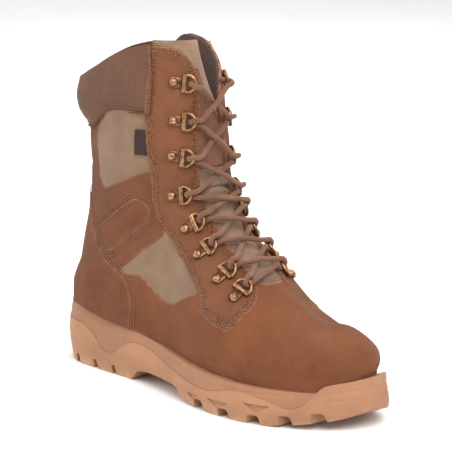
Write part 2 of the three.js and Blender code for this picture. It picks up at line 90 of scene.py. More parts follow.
def smooth_curve(keys, values):
    """A curve without overshoot through a table's points."""
    k, v = np.array(keys, float), np.array(values, float)
    rise = np.diff(v) / np.diff(k)
    before, after = np.r_[rise[0], rise], np.r_[rise, rise[-1]]
    same = before * after > 0
    slope = np.where(same, 2 * before * after / np.where(same, before + after, 1), 0)

    def at(x):
        t = np.clip(x, k[0], k[-1])
        i = np.clip(np.searchsorted(k, t, side="right") - 1, 0, len(k) - 2)
        span = k[i + 1] - k[i]
        s = (t - k[i]) / span
        value = v[i] * (1 + 2 * s) * (1 - s) ** 2 + v[i + 1] * s * s * (3 - 2 * s)
        return value + span * (slope[i] * s * (1 - s) ** 2 - slope[i + 1] * s * s * (1 - s))

    return at


shaft_back = smooth_curve(SHAFT["z"], SHAFT["back"])
shaft_front = smooth_curve(SHAFT["z"], SHAFT["front"])
shaft_half = smooth_curve(SHAFT["z"], SHAFT["half"])
foot_ridge = smooth_curve(FOOT["x"], FOOT["ridge"])
foot_lateral = smooth_curve(FOOT["x"], np.square(FOOT["lateral"]))
foot_medial = smooth_curve(FOOT["x"], np.square(FOOT["medial"]))
foot_lean = smooth_curve(FOOT["x"], FOOT["lean"])
foot_widest = smooth_curve(WIDEST["x"], WIDEST["z"])
fan_x, fan_z, fan_tilt = (smooth_curve(FAN["row"], FAN[c]) for c in ("x", "z", "tilt"))
collar_z = smooth_curve(COLLAR["x"], COLLAR["z"])
collar_medial_z = smooth_curve(COLLAR_MEDIAL["x"], COLLAR_MEDIAL["z"])
sole_top = smooth_curve(SOLE_TOP["x"], SOLE_TOP["z"])


def smoothstep(low, high, x):
    t = np.clip((x - low) / (high - low), 0, 1)
    return t * t * (3 - 2 * t)


def last_field(p):
    """Negative inside the last, about zero on it, for an array of points."""
    x, y, z = p[:, 0], p[:, 1], p[:, 2]
    back, front, half = shaft_back(z), shaft_front(z), shaft_half(z)
    across = np.abs(x - (back + front) / 2) / ((front - back) / 2)
    shaft = ((across**ROUND + (np.abs(y) / half) ** ROUND) ** (1 / ROUND) - 1) * OVAL
    first, end = FOOT["x"][0], FOOT["x"][-1]
    inside = np.clip(x, first + 0.01, end - 0.01)
    ridge = foot_ridge(inside)
    widest = np.minimum(foot_widest(inside), ridge - 4)
    side = y - foot_lean(inside) * smoothstep(30, 90, z)
    half = np.sqrt(np.where(side < 0, foot_lateral(inside), foot_medial(inside))) + 0.001
    up = np.maximum(z - widest, 0) / (ridge - widest)
    tuck = 1 - 0.05 * (np.maximum(widest - z, 0) / 25) ** 2
    foot = ((up**ROUND + (np.abs(side) / (half * tuck)) ** ROUND) ** (1 / ROUND) - 1) * OVAL
    foot = np.maximum(np.maximum(foot, x - end), STEEP * (first - x))
    mix = np.clip(0.5 + (foot - shaft) / (2 * BLEND), 0, 1)
    return foot + (shaft - foot) * mix - BLEND * mix * (1 - mix)


TIPS = [
    dict(x=FOOT["x"][0], inside=60, beyond=-20),
    dict(x=FOOT["x"][-1], inside=240, beyond=320),
]
TIP_REACH = dict(along=8, across=9)


def surface_between(near, far, place, halvings):
    """How far out the last's surface is, between near, which is inside it, and far."""
    for _ in range(halvings):
        middle = (near + far) / 2
        inside = last_field(place(middle)) < 0
        near, far = np.where(inside, middle, near), np.where(inside, far, middle)
    return near


def tip_x(tip, y, z):
    """Where the heel's back or the toe's front lies at a height and a place across."""
    near, far = (np.full(len(y), float(tip[end])) for end in ("inside", "beyond"))
    return surface_between(near, far, lambda x: np.stack([x, y, z], 1), 22)


def at_tip(tip, p):
    along, across = np.abs(p[:, 0] - tip["x"]), np.abs(p[:, 1])
    return (along < TIP_REACH["along"]) & (across < TIP_REACH["across"])


def outward(p, step=0.4):
    """The last's outward direction at each point."""
    slope = np.empty_like(p)
    for axis in range(3):
        move = np.zeros(3)
        move[axis] = step
        slope[:, axis] = last_field(p + move) - last_field(p - move)
    for tip in TIPS:
        here = at_tip(tip, p)
        if here.any():
            y, z = p[here, 1], p[here, 2]
            over = (tip_x(tip, y + 1, z) - tip_x(tip, y - 1, z)) / 2
            up = (tip_x(tip, y, z + 1) - tip_x(tip, y, z - 1)) / 2
            forward = 1 if tip["beyond"] > tip["inside"] else -1
            slope[here] = np.stack([np.ones(len(y)), -over, -up], 1) * forward
    return slope / np.linalg.norm(slope, axis=1, keepdims=True)


SETTLE = dict(rounds=6, longest=4)


def settle(points):
    """The nearby points that lie on the last."""
    p = np.array(points, float).reshape(-1, 3)
    for _ in range(SETTLE["rounds"]):
        n = outward(p)
        fall = (last_field(p + 0.2 * n) - last_field(p - 0.2 * n)) / 0.4
        p = p - n * np.clip(last_field(p) / fall, -SETTLE["longest"], SETTLE["longest"])[:, None]
    for tip in TIPS:
        here = at_tip(tip, p)
        p[here, 0] = tip_x(tip, p[here, 1], p[here, 2])
    return p


def fan_section(row):
    tilt = np.radians(fan_tilt(row))
    centre = np.stack([fan_x(row), 0 * row, fan_z(row)], 1)
    axis = np.stack([np.cos(tilt), 0 * row, np.sin(tilt)], 1)
    return centre, axis


def on_last(row, degrees):
    """Points of the last in the fan's sections: 0 degrees is the front, 90 the lateral side."""
    centre, axis = fan_section(row)
    angle = np.radians(degrees)
    heading = axis * np.cos(angle)[:, None]
    heading[:, 1] = -np.sin(angle)
    near, step, farthest = np.zeros(len(row)), 8.0, 300
    open_rays = np.ones(len(row), bool)
    while open_rays.any():
        ahead = near + step
        inside = last_field(centre + heading * ahead[:, None]) < 0
        open_rays &= inside & (ahead < farthest)
        near = np.where(open_rays, ahead, near)
    reach = surface_between(near, near + step, lambda out: centre + heading * out[:, None], 14)
    return centre + heading * reach[:, None]


def chart(p, turn=0):
    """Row and degrees of points on the last, with the degrees within 180 of turn."""
    low, high = np.zeros(len(p)), np.full(len(p), float(FAN["row"][-1]))
    for _ in range(24):
        middle = (low + high) / 2
        centre, axis = fan_section(middle)
        over = (centre[:, 2] - p[:, 2]) * axis[:, 0] + (p[:, 0] - centre[:, 0]) * axis[:, 2] > 0
        low, high = np.where(over, middle, low), np.where(over, high, middle)
    centre, axis = fan_section(low)
    degrees = np.degrees(np.arctan2(-p[:, 1], ((p - centre) * axis).sum(1)))
    return low, (degrees - turn + 180) % 360 - 180 + turn


def spline(points, step=1.3, closed=False):
    """A centripetal curve through a few points, as points a step apart."""
    p = np.array(points, float)
    if len(p) == 2:
        p = np.array([p[0], (p[0] + p[1]) / 2, p[1]])
    if closed:
        p = np.vstack([p[-1], p, p[:2]])
    else:
        p = np.vstack([2 * p[0] - p[1], p, 2 * p[-1] - p[-2]])
    knots = np.r_[0, np.cumsum(np.linalg.norm(np.diff(p, axis=0), axis=1) ** 0.5)]

    def between(a, b, i, j, t):
        return a + (b - a) * (t - knots[i]) / (knots[j] - knots[i])

    made = []
    for i in range(1, len(p) - 2):
        t = np.linspace(knots[i], knots[i + 1], 24, endpoint=i == len(p) - 3)[:, None]
        a = [between(p[j], p[j + 1], j, j + 1, t) for j in (i - 1, i, i + 1)]
        b = [between(a[j], a[j + 1], i - 1 + j, i + 1 + j, t) for j in (0, 1)]
        made.append(between(b[0], b[1], i, i + 1, t))
    return spaced(np.vstack(made), step)


def run_along(path):
    """How far along a path each of its points is."""
    return np.r_[0, np.cumsum(np.linalg.norm(np.diff(path, axis=0), axis=1))]


def points_at(path, run, at):
    """The points of a path at some distances along it."""
    return np.stack([np.interp(at, run, path[:, axis]) for axis in range(3)], 1)


def spaced(path, step):
    """The same path with its points an even step apart."""
    run = run_along(path)
    count = max(2, round(run[-1] / step) + 1)
    return points_at(path, run, np.linspace(0, run[-1], count))


def seam(*points):
    """A smooth line drawn on the last through a few points."""
    return settle(spline(points))


def other_side(line):
    """The same line on the medial side."""
    return settle(line * [1, -1, 1])


def rim(height_of_x, centre_x, first, end):
    """Where a curved level cuts the last, once round from one heading to another."""
    angle = np.radians(np.linspace(first, end, 900))
    heading = np.stack([np.cos(angle), np.sin(angle)], 1)

    def level_at(out):
        x, y = centre_x + heading[:, 0] * out, heading[:, 1] * out
        return np.stack([x, y, height_of_x(x)], 1)

    nothing, farthest = np.zeros(len(angle)), np.full(len(angle), 190.0)
    return spaced(level_at(surface_between(nothing, farthest, level_at, 26)), 1.3)


def part_of(path, start, end):
    """The stretch of a path between the points nearest to start and to end."""
    i, j = (int(np.argmin(np.linalg.norm(path - p, axis=1))) for p in (start, end))
    return path[i : j + 1] if i <= j else path[j : i + 1][::-1]


# The collar's top edge, from the lateral front round the back to the medial front.
collar_rim = np.vstack([rim(collar_z, 74, -40, -180)[:-1], rim(collar_medial_z, 74, -180, -338)])

# Soft troughs and ridges in the leather: each runs between two points, with a width and a depth.
CREASES = [
    dict(start=(52, -36, 76), end=(66, -40, 58), width=7, depth=1.0),  # dent in the heel counter
    dict(start=(112, -38, 56), end=(150, -44, 47), width=7, depth=0.6),  # over the shank
    dict(start=(186, -50, 50), end=(215, -30, 78), width=5, depth=0.5),  # flex line of the ball
    dict(start=(196, -52, 44), end=(222, -34, 70), width=4, depth=-0.35),
    dict(start=(214, -52, 46), end=(228, 20, 76), width=7, depth=0.5),
    dict(start=(190, 46, 52), end=(222, 22, 76), width=6, depth=0.6),
    dict(start=(118, -31, 152), end=(116, -33, 128), width=3.2, depth=-0.8),  # fold in the eyestay
    dict(start=(124, -26, 158), end=(126, -28, 126), width=4.5, depth=0.9),
    dict(start=(16, 0, 186), end=(40, -35, 187), width=3.0, depth=2.0),  # flex notches at the back
    dict(start=(16, 0, 186), end=(40, 35, 187), width=3.0, depth=2.0),
    dict(start=(17, 0, 160), end=(36, -34, 160), width=2.4, depth=1.5),
    dict(start=(17, 0, 160), end=(36, 34, 160), width=2.4, depth=1.5),
    dict(start=(22, -24, 120), end=(70, -38, 150), width=6, depth=0.5),  # ankle
    dict(start=(40, -38, 214), end=(92, -40, 236), width=10, depth=-0.7),  # the collar's foam
    dict(start=(30, 36, 210), end=(92, 40, 232), width=10, depth=-0.7),
    dict(start=(245, -40, 40), end=(275, -25, 42), width=6, depth=0.4),  # beside the toe box
    dict(start=(219, 27, 82), end=(238, 25, 69), width=14, depth=4.6),  # medial shoulder
    dict(start=(262, 20, 60), end=(281, 14, 54), width=14, depth=-4.4),  # full toe box
]


def relief(p):
    """How far the leather stands proud of the last, from its creases and its own unevenness."""
    height = np.zeros(len(p))
    for crease in CREASES:
        start, end = np.array(crease["start"], float), np.array(crease["end"], float)
        share = np.clip((p - start) @ (end - start) / ((end - start) @ (end - start)), 0, 1)
        away = np.linalg.norm(p - start - share[:, None] * (end - start), axis=1)
        height -= crease["depth"] * np.exp(-((away / crease["width"]) ** 2))
    x, y, z = p.T
    height += 0.16 * np.sin(x / 9.1 + 1.3 * np.sin(z / 13)) * np.sin(z / 7.7 + y / 11)
    height += 0.10 * np.sin(x / 4.3 + z / 5.9 + 2 * np.sin(y / 8))
    return height


# ---- Sheets of the upper ------------------------------------------------------------------------
# The upper is cut from flat hides and cloth, skived at the edges, and sewn in layers. Each sheet
# here is one closed piece of leather or cloth with a true thickness and a rolled edge, laid on
# the last inside an outline, so that neighbouring panels overlap as the sewn ones do.
def gap_to(p, path):
    """Each point's distance to a path whose points lie close together."""
    return np.concatenate([
        np.sqrt(((block[:, None] - path[None]) ** 2).sum(2).min(1))
        for block in np.array_split(p, max(1, len(p) // 1500))
    ])


def inward_of(path, closed=True):
    """At each point of a path on the last, the direction to its left along the surface."""
    if closed:
        tangent = np.roll(path, -1, axis=0) - np.roll(path, 1, axis=0)
    else:
        tangent = np.gradient(path, axis=0)
    left = np.cross(outward(path), tangent)
    return left / (np.linalg.norm(left, axis=1, keepdims=True) + 1e-9)


def inside_polygon(q, polygon):
    x, y = q[:, 0][:, None], q[:, 1][:, None]
    a, b = polygon, np.roll(polygon, -1, axis=0)
    crosses = (a[:, 1] > y) != (b[:, 1] > y)
    with np.errstate(divide="ignore", invalid="ignore"):
        at = a[:, 0] + (y - a[:, 1]) * (b[:, 0] - a[:, 0]) / (b[:, 1] - a[:, 1])
    return (crosses & (x < at)).sum(1) % 2 == 1


def form(name, points, faces):
    """An object in metres from points in millimetres from the heel."""
    mesh = bpy.data.meshes.new(name)
    mesh.from_pydata(((np.array(points) + HEEL) / 1000).tolist(), [], faces)
    made = bpy.data.objects.new(name, mesh)
    bpy.context.scene.collection.objects.link(made)
    return made


def select_only(*pieces):
    """Selects some pieces and nothing else; the last one is active."""
    bpy.ops.object.select_all(action="DESELECT")
    for piece in pieces:
        piece.select_set(True)
    bpy.context.view_layer.objects.active = pieces[-1]


def mesh_piece(name, points, faces, finish, slot, replaces=(), sharp=40):
    """A finished piece, smooth but for edges sharper than an angle."""
    piece = form(name, points, faces)
    piece.data.materials.append(finish)
    select_only(piece)
    bpy.ops.object.shade_smooth_by_angle(angle=math.radians(sharp))
    piece.select_set(False)
    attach(piece, "root")
    if replaces:
        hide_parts(*replaces)
    return piece


INSETS = (0.22, 0.6, 1.1, 1.8, 2.6, 3.6)  # rings of points inside a sheet's outline
UNROLLED = np.array([16, 0.8])  # millimetres to a row of the fan and to a degree, laid flat


def rolled_edge(away, radius):
    """How far a rounded edge has dropped at a distance from the outline."""
    if not radius:
        return 0 * away
    return radius * (1 - np.sqrt(1 - np.clip(1 - away / radius, 0, 1) ** 2))


def laid_flat(p, turn):
    """Points on the last, unrolled to a plane."""
    return np.stack(chart(p, turn), 1) * UNROLLED


def sheet_piece(name, edges, top, under, finish, slot="upper_suede", turn=0, spacing=2.6,
                roll=0.6, under_roll=0, **given):
    """A closed sheet inside the outline that its edges make. top and under are heights over the
    last, or functions of the points and of their distances from the outline."""
    joined = []
    for edge, following in zip(edges, edges[1:] + edges[:1]):
        joined.append(edge[:-1])
        if np.linalg.norm(following[0] - edge[-1]) > 2:
            joined.append(seam(edge[-1], following[0])[:-1])
    outline = np.vstack(joined)
    outline = outline[np.linalg.norm(outline - np.roll(outline, 1, axis=0), axis=1) > 0.3]
    flat = laid_flat(outline, turn)
    after = np.roll(flat, -1, axis=0)
    if (flat[:, 0] * after[:, 1] - after[:, 0] * flat[:, 1]).sum() > 0:
        outline, flat = outline[::-1], flat[::-1]
    inward = inward_of(outline)
    rings = [settle(outline + inward * inset) for inset in INSETS]
    rings = np.vstack([r[gap_to(r, outline) > 0.93 * inset] for r, inset in zip(rings, INSETS)])
    low, high = flat.min(0), flat.max(0)
    lines = [np.arange(low[k], high[k], spacing) / UNROLLED[k] for k in range(2)]
    grid = np.stack([axis.ravel() for axis in np.meshgrid(*lines)], 1)
    grid = grid[inside_polygon(grid * UNROLLED, flat)]
    inner = on_last(grid[:, 0], grid[:, 1])
    inner = inner[gap_to(inner, outline) > INSETS[-1] + 0.5 * spacing]
    placed = np.vstack([outline, rings, inner])
    flat = laid_flat(placed, turn)
    count = len(outline)
    made = delaunay_2d_cdt([Vector(q) for q in flat], [], [list(range(count))], 1, 1e-6)
    source = [min(origins) if origins else -1 for origins in made[3]]
    keep = {i: s for i, s in enumerate(source) if s >= 0}
    faces = [[keep[i] for i in face] for face in made[2] if all(i in keep for i in face)]
    used = sorted({i for face in faces for i in face})
    number = {old: new for new, old in enumerate(used)}
    faces = [[number[i] for i in face] for face in faces]
    p = placed[used]
    n = outward(p)
    away = gap_to(p, outline)
    away[[number[i] for i in range(count) if i in number]] = 0  # the outline itself
    lift = relief(p)
    height = (top(p, away) if callable(top) else top) + lift
    depth = (under(p, away) if callable(under) else under) + lift
    upper_skin = p + n * (height - rolled_edge(away, roll))[:, None]
    lower_skin = p + n * (depth + rolled_edge(away, under_roll))[:, None]
    size = len(p)
    a, b, c = (upper_skin[[face[k] for face in faces]] for k in range(3))
    if (np.cross(b - a, c - a) * n[[face[0] for face in faces]]).sum() <= 0:
        faces = [face[::-1] for face in faces]
    shell = faces + [[i + size for i in face[::-1]] for face in faces]
    sides = dict.fromkeys((face[i], face[(i + 1) % 3]) for face in faces for i in range(3))
    shell += [[j, i, i + size, j + size] for i, j in sides if (j, i) not in sides]
    piece = mesh_piece(name, np.vstack([upper_skin, lower_skin]), shell, finish, slot, **given)
    edge = piece.data.attributes.new("edge_mm", "FLOAT", "POINT")
    edge.data.foreach_set("value", np.r_[away, away].astype(np.float32))
    return piece


# ---- Leather, cloth and thread ------------------------------------------------------------------
# The hides are nubuck-like suede with a short nap, the collar is smooth corrected leather, the
# side cloth is a plain-woven canvas, and the seams are sewn with heavy waxed polyester thread.
def shade(red, green, blue):
    """A colour given in eight-bit display values, as the shaders take it."""
    channel = [c / 255 for c in (red, green, blue)]
    return [c / 12.92 if c < 0.04 else ((c + 0.055) / 1.055) ** 2.4 for c in channel] + [1]


def feed(tree, sockets, values):
    """Links each value to its socket, or sets it there if it is a number or a colour."""
    for socket, value in zip(sockets, values):
        if isinstance(value, bpy.types.NodeSocket):
            tree.links.new(value, socket)
        else:
            socket.default_value = value


def add_node(tree, kind, inputs=None, **settings):
    made = tree.nodes.new("ShaderNode" + kind)
    for name, value in settings.items():
        setattr(made, name, value)
    inputs = inputs or {}
    feed(tree, [made.inputs[name] for name in inputs], inputs.values())
    return made


def noise(tree, where, scale, detail=2.0, rough=0.5):
    settings = {"Vector": where, "Scale": scale, "Detail": detail, "Roughness": rough}
    return add_node(tree, "TexNoise", settings).outputs["Fac"]


def ramp(tree, value, *stops):
    made = add_node(tree, "ValToRGB", {"Fac": value})
    elements = made.color_ramp.elements
    while len(elements) < len(stops):
        elements.new(0.5)
    for element, (at, colour) in zip(elements, stops):
        element.position = at
        element.color = colour if isinstance(colour, list) else [colour, colour, colour, 1]
    return made.outputs["Color"]


def mixed(tree, share, first, second, blend="MIX"):
    made = add_node(tree, "Mix", data_type="RGBA", blend_type=blend, clamp_result=True)
    feed(tree, [made.inputs[i] for i in (0, 6, 7)], (share, first, second))
    return made.outputs[2]


def spread(tree, value, low, high, dark, light):
    """Two colours, shared out by where a value lies from low to high."""
    return mixed(tree, ramp(tree, value, (low, 0.0), (high, 1.0)), dark, light)


def dulled(tree, share, colour, value, *stops):
    """A colour darkened by a pattern, as deeply as share says."""
    return mixed(tree, share, colour, ramp(tree, value, *stops), "MULTIPLY")


def maths(tree, operation, *values):
    made = add_node(tree, "Math", operation=operation)
    feed(tree, made.inputs, values)
    return made.outputs[0]


def product(tree, *values):
    return maths(tree, "MULTIPLY", *values)


def total(tree, *values):
    return maths(tree, "ADD", *values)


def wave(tree, value, turns):
    return maths(tree, "SINE", product(tree, value, turns))


def crossed(tree, one, other):
    """Two waves multiplied, from 0 to 1: high where warp or weft lies on top."""
    return maths(tree, "MULTIPLY_ADD", product(tree, one, other), 0.5, 0.5)


def coordinates(tree, vector):
    return add_node(tree, "SeparateXYZ", {"Vector": vector}).outputs


def fading(tree, value, start, end, most=1.0):
    """Rises from nothing to the most as a value goes from start to end."""
    sockets = {"Value": value, "From Min": start, "From Max": end, "To Max": most}
    return add_node(tree, "MapRange", sockets).outputs[0]


def material(name, paint, **settings):
    """A material whose paint(tree, where) gives colour, roughness, bump height and its depth."""
    made = bpy.data.materials.new(name)
    made.use_nodes = True
    tree = made.node_tree
    shader = tree.nodes["Principled BSDF"]
    for socket, value in settings.items():
        shader.inputs[socket.replace("_", " ")].default_value = value
    where = add_node(tree, "TexCoord").outputs["Object"]
    colour, roughness, height, depth = paint(tree, where)
    tree.links.new(colour, shader.inputs["Base Color"])
    tree.links.new(roughness, shader.inputs["Roughness"])
    bump = add_node(tree, "Bump", {"Height": height, "Distance": depth / 1000, "Strength": 0.9})
    tree.links.new(bump.outputs["Normal"], shader.inputs["Normal"])
    return made


# STAIN is a real stain colour; the second colour is painted shade, laid on the suede towards the
# sole.
STAIN, LOW_SHADE = shade(83, 51, 36), shade(92, 55, 37)


def suede(name, light, dark, scuff, pitted=0.0):
    """Napped leather: cloudy colour, brushed patches, a fine nap, and scuffed cut edges. Where it
    is pitted, the sewn margin is pricked and coarse."""
    def paint(tree, where):
        clouds = noise(tree, where, 26, 5, 0.6)
        brushed = noise(tree, where, 170, 3, 0.55)
        nap = noise(tree, where, 1500, 3, 0.7)
        colour = spread(tree, clouds, 0.25, 0.72, dark, light)
        colour = dulled(tree, 0.55, colour, brushed, (0.3, 0.8), (0.7, 1.0))
        colour = dulled(tree, 0.6, colour, nap, (0.3, 0.62), (0.6, 1.0))
        stains = ramp(tree, noise(tree, where, 19, 5, 0.65), (0.58, 0.0), (0.8, 1.0))
        colour = mixed(tree, product(tree, stains, 0.3), colour, STAIN)
        # Painted shade: the suede darkens towards the sole, from 90 mm down to 35 mm above the
        # floor.
        low_shade = fading(tree, coordinates(tree, where)["Z"], 0.09, 0.035, 0.32)
        colour = mixed(tree, low_shade, colour, LOW_SHADE)
        edge = add_node(tree, "Attribute", attribute_name="edge_mm").outputs["Fac"]
        if pitted:
            margin = fading(tree, edge, 9.5, 5.0, pitted)
            pits = noise(tree, where, 640, 2, 0.6)
            colour = dulled(tree, margin, colour, pits, (0.4, 0.42), (0.56, 1.12))
        worn = fading(tree, edge, 1.3, 0.1)
        worn = product(tree, worn, ramp(tree, brushed, (0.35, 0.2), (0.6, 0.9)))
        colour = mixed(tree, worn, colour, scuff)
        roughness = ramp(tree, nap, (0.3, 0.98), (0.7, 0.78))
        return colour, roughness, total(tree, nap, product(tree, brushed, 0.8)), 0.5
    return material(name, paint, Sheen_Weight=0.05, Sheen_Roughness=0.5, Specular_IOR_Level=0.14)


def smooth_leather(name, light, dark):
    """Corrected leather: a pebbled grain with fine creases between the pebbles, and a low gloss."""
    def paint(tree, where):
        clouds = noise(tree, where, 34, 3, 0.55)
        cells = {"Vector": where, "Scale": 620.0, "Randomness": 1.0}
        grain = add_node(tree, "TexVoronoi", cells, feature="DISTANCE_TO_EDGE").outputs["Distance"]
        pebbles = ramp(tree, grain, (0.02, 0.0), (0.22, 1.0))
        colour = spread(tree, clouds, 0.2, 0.8, dark, light)
        # Painted shade: the colour darkens in the creases between the pebbles.
        colour = mixed(tree, 0.3, colour, pebbles, "MULTIPLY")
        fine = noise(tree, where, 260, 3)
        roughness = ramp(tree, fine, (0.3, 0.56), (0.7, 0.72))
        return colour, roughness, total(tree, pebbles, product(tree, fine, 1.2)), 0.22
    return material(name, paint, Specular_IOR_Level=0.3)


CANVAS_PITCH = 0.85  # millimetres from yarn to yarn


def canvas(name, light, dark):
    """A plain weave: warp and weft pass over each other in turn, with uneven, slubby yarns."""
    def paint(tree, where):
        parts = coordinates(tree, where)
        turns = 2 * math.pi / (2 * CANVAS_PITCH / 1000)
        slub = product(tree, noise(tree, where, 90, 2), 1.6)
        warp, weft = (maths(tree, "SINE", total(tree, product(tree, parts[axis], turns), slub))
                      for axis in "XZ")
        weave = crossed(tree, warp, weft)
        hatch = product(tree, maths(tree, "ABSOLUTE", warp), maths(tree, "ABSOLUTE", weft))
        clouds = ramp(tree, noise(tree, where, 60, 4, 0.6), (0.3, 0.0), (0.7, 1.0))
        colour = mixed(tree, clouds, dark, light)
        # Painted shade: the colour darkens in the gaps between the yarns.
        colour = dulled(tree, 0.5, colour, hatch, (0.0, 0.55), (0.5, 1.0))
        yarn = noise(tree, where, 1700, 2)
        colour = dulled(tree, 0.5, colour, yarn, (0.3, 0.75), (0.7, 1.0))
        height = total(tree, hatch, product(tree, weave, 0.5))
        return colour, ramp(tree, clouds, (0.0, 0.86), (1.0, 0.95)), height, 0.35
    return material(name, paint, Sheen_Weight=0.2, Specular_IOR_Level=0.2)


def thread(name, light, dark):
    """Waxed thread: two plies twisted together, a little glossy where it stands up."""
    def paint(tree, where):
        plies = noise(tree, where, 2600, 1)
        colour = spread(tree, plies, 0.35, 0.65, dark, light)
        return colour, ramp(tree, plies, (0.3, 0.5), (0.7, 0.75)), plies, 0.12
    return material(name, paint, Specular_IOR_Level=0.4)


TAN_SUEDE = suede("tan suede", shade(137, 83, 52), shade(112, 66, 42), shade(162, 116, 87))
BROWN_SUEDE = suede("brown suede", shade(126, 78, 54), shade(101, 61, 43), shade(153, 111, 87))
EYESTAY_SUEDE = suede(
    "eyestay suede", shade(133, 85, 59), shade(109, 68, 47), shade(158, 114, 88), pitted=0.75)
HEEL_SUEDE = suede("heel suede", shade(129, 80, 53), shade(100, 61, 41), shade(151, 106, 81))
COLLAR_LEATHER = smooth_leather("collar leather", shade(115, 79, 59), shade(94, 62, 46))
SIDE_CANVAS = canvas("side canvas", shade(151, 119, 93), shade(131, 101, 76))
TAN_THREAD = thread("tan thread", shade(158, 116, 86), shade(104, 70, 51))
BROWN_THREAD = thread("brown thread", shade(146, 101, 76), shade(89, 58, 43))

STITCH = dict(pitch=2.5, length=1.8, radius=0.36, sides=6)


def beads_along(path, height):
    """Stitches of thread, end to end along a path on the leather, each one sunk at its two ends."""
    run = run_along(path)
    count = int(run[-1] / STITCH["pitch"])
    if count < 2:
        return np.zeros((0, 3)), []
    at = (np.arange(count) + 0.5) * run[-1] / count
    middle, ahead = points_at(path, run, at), points_at(path, run, at + 0.5)
    n = outward(middle)
    t = ahead - middle
    t /= np.linalg.norm(t, axis=1, keepdims=True) + 1e-9
    side = np.cross(n, t)
    middle = middle + n * (height + relief(middle))[:, None]
    half, r, sides = STITCH["length"] / 2, STITCH["radius"], STITCH["sides"]
    # Along the stitch: how far, the thread's size there, and how high it stands.
    profile = [(-half, 0.15, -0.35), (-half * 0.55, 0.9, 0.05),
               (half * 0.55, 0.9, 0.05), (half, 0.15, -0.35)]
    points, faces = [], []
    for i in range(count):
        base = len(points)
        for along, size, rise in profile:
            for k in range(sides):
                a = 2 * math.pi * k / sides
                points.append(middle[i] + t[i] * along + side[i] * (r * size * math.cos(a))
                              + n[i] * (rise + r * size * math.sin(a)))
        for ring in range(len(profile) - 1):
            for k in range(sides):
                a, b = base + ring * sides + k, base + ring * sides + (k + 1) % sides
                faces.append([a, b, b + sides, a + sides])
        faces.append([base + k for k in reversed(range(sides))])
        faces.append([base + (len(profile) - 1) * sides + k for k in range(sides)])
    return np.array(points), faces


def inset_line(path, distance):
    """A line beside a path, to its left seen from outside the boot."""
    beside = settle(path + inward_of(path, closed=False) * distance)
    return beside[gap_to(beside, path) > abs(distance) * 0.9]


def seams_piece(name, runs, height, finish, side=1):
    """One piece with every stitch of a panel: runs are (path, distances of its rows)."""
    points, faces = np.zeros((0, 3)), []
    for path, rows in runs:
        for distance in rows:
            row = inset_line(path, distance * side)
            if len(row) < 4:
                continue
            made, made_faces = beads_along(row, height)
            faces += [[i + len(points) for i in face] for face in made_faces]
            points = np.vstack([points, made])
    return mesh_piece(name, points, faces, finish, "upper_suede", sharp=80)


# ---- The lining ---------------------------------------------------------------------------------
# A spacer-mesh lining covers the whole inside in two halves that meet at the heel and over the
# toes. It is a knitted cloth with rows of small holes, and it is glued and sewn in at the collar.
WALL, PAD = 2.6, 5.5  # the upper's wall, and how much thicker the collar's foam makes it
HOLE_PITCH = 0.0036


def wall_at(p):
    """How thick the upper is at each point."""
    collar = smoothstep(196, 212, p[:, 2])
    return WALL + PAD * collar * (1 - smoothstep(70, 108, p[:, 0]))


def spacer_mesh(tree, where):
    parts = coordinates(tree, where)
    turns = 2 * math.pi / HOLE_PITCH
    across = wave(tree, total(tree, parts["X"], parts["Y"]), turns)
    holes = crossed(tree, across, wave(tree, parts["Z"], turns))
    open_cloth = ramp(tree, holes, (0.7, 1.0), (0.9, 0.0))
    knit = noise(tree, where, 1400, 2)
    cloth = spread(tree, knit, 0.3, 0.7, shade(72, 51, 43), shade(105, 76, 63))
    # Painted shade: the holes are near-black, standing in for the shade inside them.
    colour = mixed(tree, open_cloth, shade(31, 22, 17), cloth)
    height = total(tree, open_cloth, product(tree, knit, 0.4))
    return colour, ramp(tree, knit, (0.3, 0.85), (0.7, 0.95)), height, 0.5


LINING_MESH = material("lining mesh", spacer_mesh, Sheen_Weight=0.15, Specular_IOR_Level=0.2)

EYESTAY_TOP = seam(
    (106.4, -33.6, 258.2), (113.5, -29.5, 258.3), (119.8, -24.3, 257.3), (124.3, -19.3, 254.5),
    (127.1, -15.5, 250.8), (129.1, -12.1, 246.1), (130.6, -9.8, 240.9), (132, -7.7, 234.4))
THROAT_LATERAL = seam(
    (132, -7.7, 234.4), (133, -8, 226), (134.7, -9, 214), (136, -10.3, 203), (138, -12.8, 188),
    (139.5, -14, 177), (141.8, -15, 163), (144.3, -16, 152), (148.8, -15.3, 143), (157, -14.8, 131),
    (168, -15, 119), (184.6, -16, 108), (195, -15, 100), (203, -14, 94))
THROAT_MEDIAL = seam(
    (123.5, 25, 237), (128.5, 18.5, 232.5), (132, 14.5, 223), (134, 13.5, 214), (136, 13.5, 203),
    (138, 14, 188), (139.5, 14, 177), (142.5, 14, 163), (145.5, 14, 152), (151, 14, 142),
    (159, 14.5, 131), (168, 15, 120), (182, 15.5, 107), (192, 15, 101), (202, 14, 94))
THROAT_FOOT = seam((203, -14, 94), (207, -9, 92), (208.5, 0, 92.5), (207, 9, 92), (202, 14, 94))
MIDDLE = 150  # the place along the foot from which its rims are drawn


def upper_foot(x):
    """The height at which the upper goes under the midsole."""
    return sole_top(x) + 0.25


toe_rim = rim(upper_foot, MIDDLE, 180, -180)
heel_rim = rim(upper_foot, MIDDLE, 0, -360)
RIM_LATERAL, RIM_MEDIAL = (105, -35, 261), (122.5, 26, 237.5)
BACK_TOP, BACK_FOOT = (8, 0, 220), (6, 0, 47)
THROAT_MIDDLE, LINING_END = (208.5, 0, 92.5), (228, 0, 78.5)

